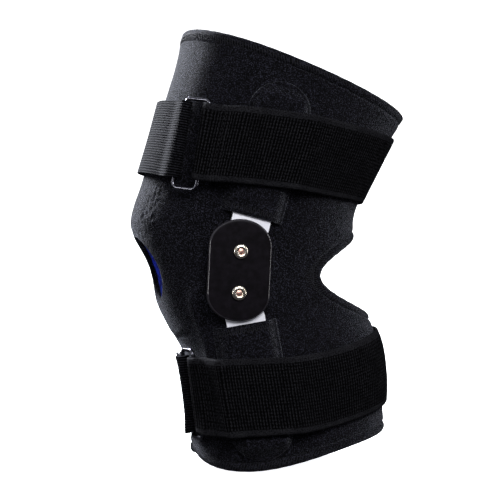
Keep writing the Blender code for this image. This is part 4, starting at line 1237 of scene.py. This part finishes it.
def build_pocket_stitches(name, outer, sign, body):
    """A zigzag across the mouth and running stitches along both sides."""
    paths = []
    lift = np.array([0, sign * 0.12 * MM, 0])
    row, width = 5, 3
    columns = range(2, POCKET_COLUMNS - 3, 2)
    for k, j in enumerate(columns):
        low, high = (row - width, row + width) if k % 2 else (row + width, row - width)
        steps = np.linspace(0, 1, 7)
        index_row = np.round(low + (high - low) * steps).astype(int)
        index_column = np.round(j + 2 * steps).astype(int)
        paths.append(outer[index_row, index_column] + lift)
    for j in (4, POCKET_COLUMNS - 5):
        for i in range(6, len(outer) - 6, 4):
            paths.append(outer[i : i + 3, j] + lift)
    piece = threads_piece(name + "_stitches", paths, THREAD_RADIUS)
    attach(piece, body)


# ---------------------------------------------------------------- materials


def start_material(name, colour, roughness, metallic=0.0):
    material = bpy.data.materials.new(name)
    material.use_nodes = True
    shader = material.node_tree.nodes["Principled BSDF"]
    shader.inputs["Base Color"].default_value = (*colour, 1)
    shader.inputs["Roughness"].default_value = roughness
    shader.inputs["Metallic"].default_value = metallic
    materials[name] = material
    return material.node_tree, shader


def noise_node(tree, size, detail=2.0, stretch=(1, 1, 1), source="Object"):
    """Noise with lumps of a size in metres; its output runs from about 0.3 to 0.7."""
    place = tree.nodes.new("ShaderNodeTexCoord")
    mapping = tree.nodes.new("ShaderNodeMapping")
    mapping.inputs["Scale"].default_value = [s / size for s in stretch]
    texture = tree.nodes.new("ShaderNodeTexNoise")
    texture.inputs["Scale"].default_value = 1.0
    texture.inputs["Detail"].default_value = detail
    tree.links.new(place.outputs[source], mapping.inputs["Vector"])
    tree.links.new(mapping.outputs["Vector"], texture.inputs["Vector"])
    return texture.outputs["Fac"]


def ramp_node(tree, value, low, high, low_at=0.35, high_at=0.65):
    ramp = tree.nodes.new("ShaderNodeValToRGB")
    ramp.color_ramp.elements[0].position = low_at
    ramp.color_ramp.elements[0].color = (*low, 1)
    ramp.color_ramp.elements[1].position = high_at
    ramp.color_ramp.elements[1].color = (*high, 1)
    tree.links.new(value, ramp.inputs["Fac"])
    return ramp.outputs["Color"]


def mix_colours(tree, kind, factor, first, second):
    mix = tree.nodes.new("ShaderNodeMix")
    mix.data_type = "RGBA"
    mix.blend_type = kind
    mix.inputs["Factor"].default_value = factor
    tree.links.new(first, mix.inputs["A"])
    tree.links.new(second, mix.inputs["B"])
    return mix.outputs["Result"]


def bump_node(tree, shader, height, strength, distance):
    bump = tree.nodes.new("ShaderNodeBump")
    bump.inputs["Strength"].default_value = strength
    bump.inputs["Distance"].default_value = distance
    tree.links.new(height, bump.inputs["Height"])
    tree.links.new(bump.outputs["Normal"], shader.inputs["Normal"])
    return bump


def add_sheen(shader, weight, roughness, tint):
    shader.inputs["Sheen Weight"].default_value = weight
    shader.inputs["Sheen Roughness"].default_value = roughness
    shader.inputs["Sheen Tint"].default_value = (*tint, 1)


def pile_material():
    """Loop pile of the neoprene's face: dull black, with fine specks that catch side light."""
    tree, shader = start_material("pile", (0.006, 0.006, 0.008), 0.95)
    specks = noise_node(tree, 0.75 * MM, 3)
    patches = noise_node(tree, 22 * MM, 2)
    colour = ramp_node(tree, specks, (0.0004, 0.0004, 0.0007), (0.026, 0.026, 0.038), 0.5, 0.68)
    shade_of = ramp_node(tree, patches, (0.7, 0.7, 0.74), (1, 1, 1))
    tree.links.new(mix_colours(tree, "MULTIPLY", 1, colour, shade_of), shader.inputs["Base Color"])
    bump_node(tree, shader, specks, 1.0, 1.0 * MM)
    shader.inputs["Specular IOR Level"].default_value = 0.08
    add_sheen(shader, 0.12, 0.3, (0.84, 0.87, 1.0))
    fibres = ramp_node(tree, specks, (0.02, 0.02, 0.02), (0.26, 0.26, 0.26), 0.42, 0.62)
    tree.links.new(fibres, shader.inputs["Sheen Weight"])


def lining_material():
    """Royal blue jersey on the inside of the sleeve."""
    tree, shader = start_material("lining", (0.02, 0.06, 0.7), 0.85)
    specks = noise_node(tree, 2.2 * MM, 4)
    colour = ramp_node(tree, specks, (0.005, 0.007, 0.2), (0.025, 0.09, 0.85), 0.38, 0.66)
    tree.links.new(colour, shader.inputs["Base Color"])
    bump_node(tree, shader, specks, 0.7, 0.4 * MM)
    add_sheen(shader, 0.3, 0.4, (0.6, 0.7, 1.0))


def math_node(tree, kind, first, second=None):
    """One sum on numbers or other nodes' outputs; some kinds take only the first."""
    node = tree.nodes.new("ShaderNodeMath")
    node.operation = kind
    for socket, value in zip(node.inputs, (first, second)):
        if isinstance(value, (int, float)):
            socket.default_value = value
        elif value is not None:
            tree.links.new(value, socket)
    return node.outputs[0]


def wave_node(tree, place, pitch, size, middle):
    """A cosine of a place in metres, which swings by a size about its middle."""
    wave = math_node(tree, "COSINE", math_node(tree, "MULTIPLY", place, 2 * math.pi / pitch))
    return math_node(tree, "ADD", math_node(tree, "MULTIPLY", wave, size), middle)


def beads_node(tree, rib_pitch, bead_pitch):
    """Ribs along a tab, or rows of beads across an elastic strap: 0 in the gaps, 1 on top; it drives the
    bump and the painted shade and highlights.
    """
    place = tree.nodes.new("ShaderNodeUVMap")
    split = tree.nodes.new("ShaderNodeSeparateXYZ")
    tree.links.new(place.outputs["UV"], split.inputs["Vector"])
    along, across = split.outputs["X"], split.outputs["Y"]
    if bead_pitch is None:
        return wave_node(tree, across, rib_pitch, 0.5, 0.5)
    ribs = wave_node(tree, along, rib_pitch, 0.33, 0.5 - SELVEDGE_TONE)
    beads = wave_node(tree, across, bead_pitch, 0.17, 0.0)
    both = math_node(tree, "ADD", ribs, beads)
    from_middle = math_node(tree, "ABSOLUTE", across)
    middle = math_node(tree, "LESS_THAN", from_middle, STRAP_WIDTH / 2 - SELVEDGE)
    return math_node(tree, "ADD", math_node(tree, "MULTIPLY", both, middle), SELVEDGE_TONE)


def knit_material(name, dark, light, pitches, sheen):
    """Yarn in ribs or beads along the strap's own grid, with uneven fibres; painted shade darkens the gaps
    and painted highlights light the tops.
    """
    tree, shader = start_material(name, light, 0.8)
    beads = beads_node(tree, *pitches)
    specks = noise_node(tree, 0.8 * MM, 2, (1, 1, 1), "UV")
    patches = noise_node(tree, 9 * MM, 2, (1, 1, 1), "UV")
    uneven = math_node(tree, "SUBTRACT", math_node(tree, "MULTIPLY", specks, 2.4), 1.2)
    height = math_node(tree, "ADD", beads, uneven)
    # painted shade and highlights: the colour runs from near black in the gaps to light on the rib and
    # bead tops
    colour = ramp_node(tree, height, dark, light, 0.5, 1.0)
    shade_of = ramp_node(tree, patches, (0.7, 0.7, 0.72), (1, 1, 1))
    tree.links.new(mix_colours(tree, "MULTIPLY", 1, colour, shade_of), shader.inputs["Base Color"])
    bump_node(tree, shader, height, 0.8, 0.35 * MM)
    shader.inputs["Specular IOR Level"].default_value = 0.02
    add_sheen(shader, sheen, 0.3, (0.85, 0.87, 1.0))


def thread_material():
    tree, shader = start_material("thread", (0.008, 0.008, 0.01), 0.7)
    twist = noise_node(tree, 0.3 * MM, 1)
    colour = ramp_node(tree, twist, (0.003, 0.003, 0.004), (0.015, 0.015, 0.019))
    tree.links.new(colour, shader.inputs["Base Color"])
    bump_node(tree, shader, twist, 0.5, 0.1 * MM)
    shader.inputs["Specular IOR Level"].default_value = 0.15


def cover_material(name, roughness, coat, dark, light):
    """Black plastic with a faint mottle; the rim is smoother than the face, and its lighter colour is a
    painted highlight.
    """
    tree, shader = start_material(name, light, roughness)
    mottle = noise_node(tree, 3.5 * MM, 4)
    colour = ramp_node(tree, mottle, dark, light)
    tree.links.new(colour, shader.inputs["Base Color"])
    grain = noise_node(tree, 0.5 * MM, 2)
    bump_node(tree, shader, grain, 0.12, 0.05 * MM)
    shader.inputs["Specular IOR Level"].default_value = 0.03
    shader.inputs["Coat Weight"].default_value = coat
    shader.inputs["Coat Roughness"].default_value = 0.05


def bar_material():
    """Pale anodised aluminium with a faint brushing along the bar."""
    tree, shader = start_material("bar", (0.70, 0.70, 0.76), 0.5, 0.15)
    brushing = noise_node(tree, 0.4 * MM, 2, (1, 1, 0.04))
    colour = ramp_node(tree, brushing, (0.66, 0.66, 0.72), (0.74, 0.74, 0.80))
    tree.links.new(colour, shader.inputs["Base Color"])
    bump_node(tree, shader, brushing, 0.15, 0.05 * MM)


def metal_material(name, dark, light, roughness, size=2.0 * MM):
    """Polished or plated metal with slight variation of tone and fine scratches."""
    tree, shader = start_material(name, light, roughness, 1.0)
    tone = noise_node(tree, size, 3)
    tree.links.new(ramp_node(tree, tone, dark, light), shader.inputs["Base Color"])
    scratches = noise_node(tree, 0.25 * MM, 2, (1, 1, 0.1))
    bump_node(tree, shader, scratches, 0.06, 0.03 * MM)


def washer_material():
    tree, shader = start_material("nylon", (0.75, 0.74, 0.70), 0.5)
    tone = noise_node(tree, 2 * MM, 2)
    colour = ramp_node(tree, tone, (0.66, 0.65, 0.6), (0.76, 0.75, 0.71))
    tree.links.new(colour, shader.inputs["Base Color"])


def pad_material():
    """Blue-black brushed cloth over foam."""
    tree, shader = start_material("pad", (0.02, 0.02, 0.05), 0.9)
    specks = noise_node(tree, 1.1 * MM, 2)
    colour = ramp_node(tree, specks, (0.006, 0.006, 0.012), (0.03, 0.03, 0.05))
    tree.links.new(colour, shader.inputs["Base Color"])
    bump_node(tree, shader, specks, 0.7, 0.5 * MM)
    add_sheen(shader, 0.3, 0.4, (0.8, 0.8, 1.0))


def make_materials():
    pile_material()
    lining_material()
    beads = (ELASTIC_RIB_PITCH, ELASTIC_BEAD_PITCH)
    # the dark colours are the painted shade in the gaps between the ribs and beads
    knit_material("elastic", (0.0001, 0.0001, 0.0002), (0.015, 0.015, 0.0175), beads, 0.0)
    knit_material("webbing", (0.0003, 0.0003, 0.0004), (0.016, 0.016, 0.02), (TAB_RIB_PITCH, None), 0.008)
    thread_material()
    cover_material("cover", 0.42, 0.0, (0.0032, 0.0027, 0.0036), (0.006, 0.005, 0.007))
    # the rim's lighter colour is a painted highlight, not a different plastic
    cover_material("cover_rim_painted_highlight", 0.25, 1.0, (0.014, 0.013, 0.016), (0.022, 0.02, 0.024))
    bar_material()
    metal_material("rivet", (0.66, 0.58, 0.46), (0.86, 0.80, 0.70), 0.22)
    metal_material("rivet_core", (0.45, 0.25, 0.2), (0.72, 0.45, 0.38), 0.35)
    metal_material("brass", (0.55, 0.38, 0.16), (0.72, 0.54, 0.28), 0.35)
    metal_material("gunmetal", (0.04, 0.04, 0.05), (0.11, 0.11, 0.125), 0.24, 4 * MM)
    washer_material()
    pad_material()


def dress_cad_nodes():
    """Finishes of the CAD pieces that stay as they are."""
    finishes = {"bar": "bar", "back_plate": "bar", "bush": "brass", "washer": "nylon"}
    for name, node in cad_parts.items():
        for ending, finish in finishes.items():
            if name.endswith("_" + ending) and not node.hide_render:
                node.data.materials.clear()
                node.data.materials.append(materials[finish])


# ---------------------------------------------------------------- stage, lights and camera


def build_stage():
    """A pale floor that curves up into a backdrop."""
    floor_z = frame_box[0].z - 1 * MM
    profile = [(-6.0, 0.0), (1.1, 0.0)]
    for i in range(1, 13):
        turn = math.pi / 2 * i / 12
        profile.append((1.1 + 0.8 * math.sin(turn), 0.8 * (1 - math.cos(turn))))
    profile.append((1.9, 3.0))
    points = []
    for along, up in profile:
        for side in (-6.0, 6.0):
            points.append((side, along, floor_z + up))
    mesh = mesh_from("stage", points, grid_faces(len(profile), 2))
    mesh.shade_smooth()
    tree, shader = start_material("stage", (0.9, 0.9, 0.9), 1.0)
    shader.inputs["Emission Color"].default_value = (1, 1, 1, 1)
    shader.inputs["Emission Strength"].default_value = 1.0
    tone = noise_node(tree, 0.4, 1)
    colour = ramp_node(tree, tone, (0.88, 0.88, 0.88), (0.92, 0.92, 0.92))
    tree.links.new(colour, shader.inputs["Base Color"])
    sweep = object_from("stage_sweep", mesh, ["stage"])
    sweep.visible_diffuse = False
    sweep.visible_glossy = False
    sweep.visible_shadow = False


def area_light(name, place, size, power, colour=(1, 1, 1), aim=(0.02, 0, 0.01)):
    light = bpy.data.lights.new(name, "AREA")
    light.shape = "RECTANGLE"
    light.size, light.size_y = size
    light.energy = power
    light.color = colour
    lamp = bpy.data.objects.new(name, light)
    bpy.context.scene.collection.objects.link(lamp)
    lamp.location = place
    lamp.rotation_euler = (Vector(aim) - Vector(place)).to_track_quat("-Z", "Y").to_euler()
    return lamp


def light_room():
    """A dim grey room that darkens downwards."""
    world = bpy.data.worlds.new("studio")
    bpy.context.scene.world = world
    world.use_nodes = True
    tree = world.node_tree
    background = tree.nodes["Background"]
    background.inputs["Strength"].default_value = 1.0
    direction = tree.nodes.new("ShaderNodeTexCoord")
    split = tree.nodes.new("ShaderNodeSeparateXYZ")
    tree.links.new(direction.outputs["Generated"], split.inputs["Vector"])
    sky = ramp_node(tree, split.outputs["Z"], (0.05, 0.05, 0.06), (0.4, 0.42, 0.46), 0.0, 0.6)
    tree.links.new(sky, background.inputs["Color"])


def light_scene():
    """A cool key from behind the brace, a soft fill before it, and narrow lights at its sides."""
    light_room()
    area_light("key_behind", (-0.6, 0.8, 0.7), (0.3, 0.6), 100, (0.9, 0.93, 1.0))
    area_light("fill_front", (0.1, -1.2, 0.7), (0.8, 0.6), 18)
    area_light("strip_rear", (0.9, -0.25, 0.2), (0.06, 0.8), 2.5)
    area_light("rake_front", (-1.0, -0.45, 0.15), (0.1, 0.4), 2.5)


def place_camera():
    camera = bpy.data.cameras.new("camera")
    camera.lens = CAMERA_LENS
    camera.clip_start = 0.05
    camera.clip_end = 20
    eye = bpy.data.objects.new("camera", camera)
    bpy.context.scene.collection.objects.link(eye)
    right = Vector((math.cos(CAMERA_AZIMUTH), math.sin(CAMERA_AZIMUTH), 0))
    back = Vector((math.sin(CAMERA_AZIMUTH), -math.cos(CAMERA_AZIMUTH), 0))
    target = right * CAMERA_ASIDE + Vector((0, 0, CAMERA_HEIGHT))
    eye.location = target + back * CAMERA_DISTANCE
    eye.rotation_euler = (-back).to_track_quat("-Z", "Y").to_euler()
    bpy.context.scene.camera = eye


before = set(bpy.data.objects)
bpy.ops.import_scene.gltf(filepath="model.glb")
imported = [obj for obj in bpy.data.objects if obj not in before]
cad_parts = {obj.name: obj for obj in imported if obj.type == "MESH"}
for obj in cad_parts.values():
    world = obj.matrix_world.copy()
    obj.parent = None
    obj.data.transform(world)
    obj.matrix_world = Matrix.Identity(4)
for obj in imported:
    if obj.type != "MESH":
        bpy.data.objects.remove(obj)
frame_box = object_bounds()
materials = {}
taut_outlines = {}
STATIONS = sleeve_stations()
RIMS = rim_tree()

make_materials()
build_sleeve_half("sleeve_upper", True, ["sleeve_thigh", "sleeve_knee"])
build_sleeve_half("sleeve_lower", False, ["sleeve_calf"])
build_hem_stitches()
build_buttress()
build_straps()
for side in ("lateral", "medial"):
    build_cover(side)
    build_condyle_pad(side)
    for upper in (True, False):
        build_rivet(side, upper)
        build_pocket(side, upper)
dress_cad_nodes()
build_stage()
light_scene()
place_camera()
bpy.context.scene.view_settings.view_transform = "Standard"
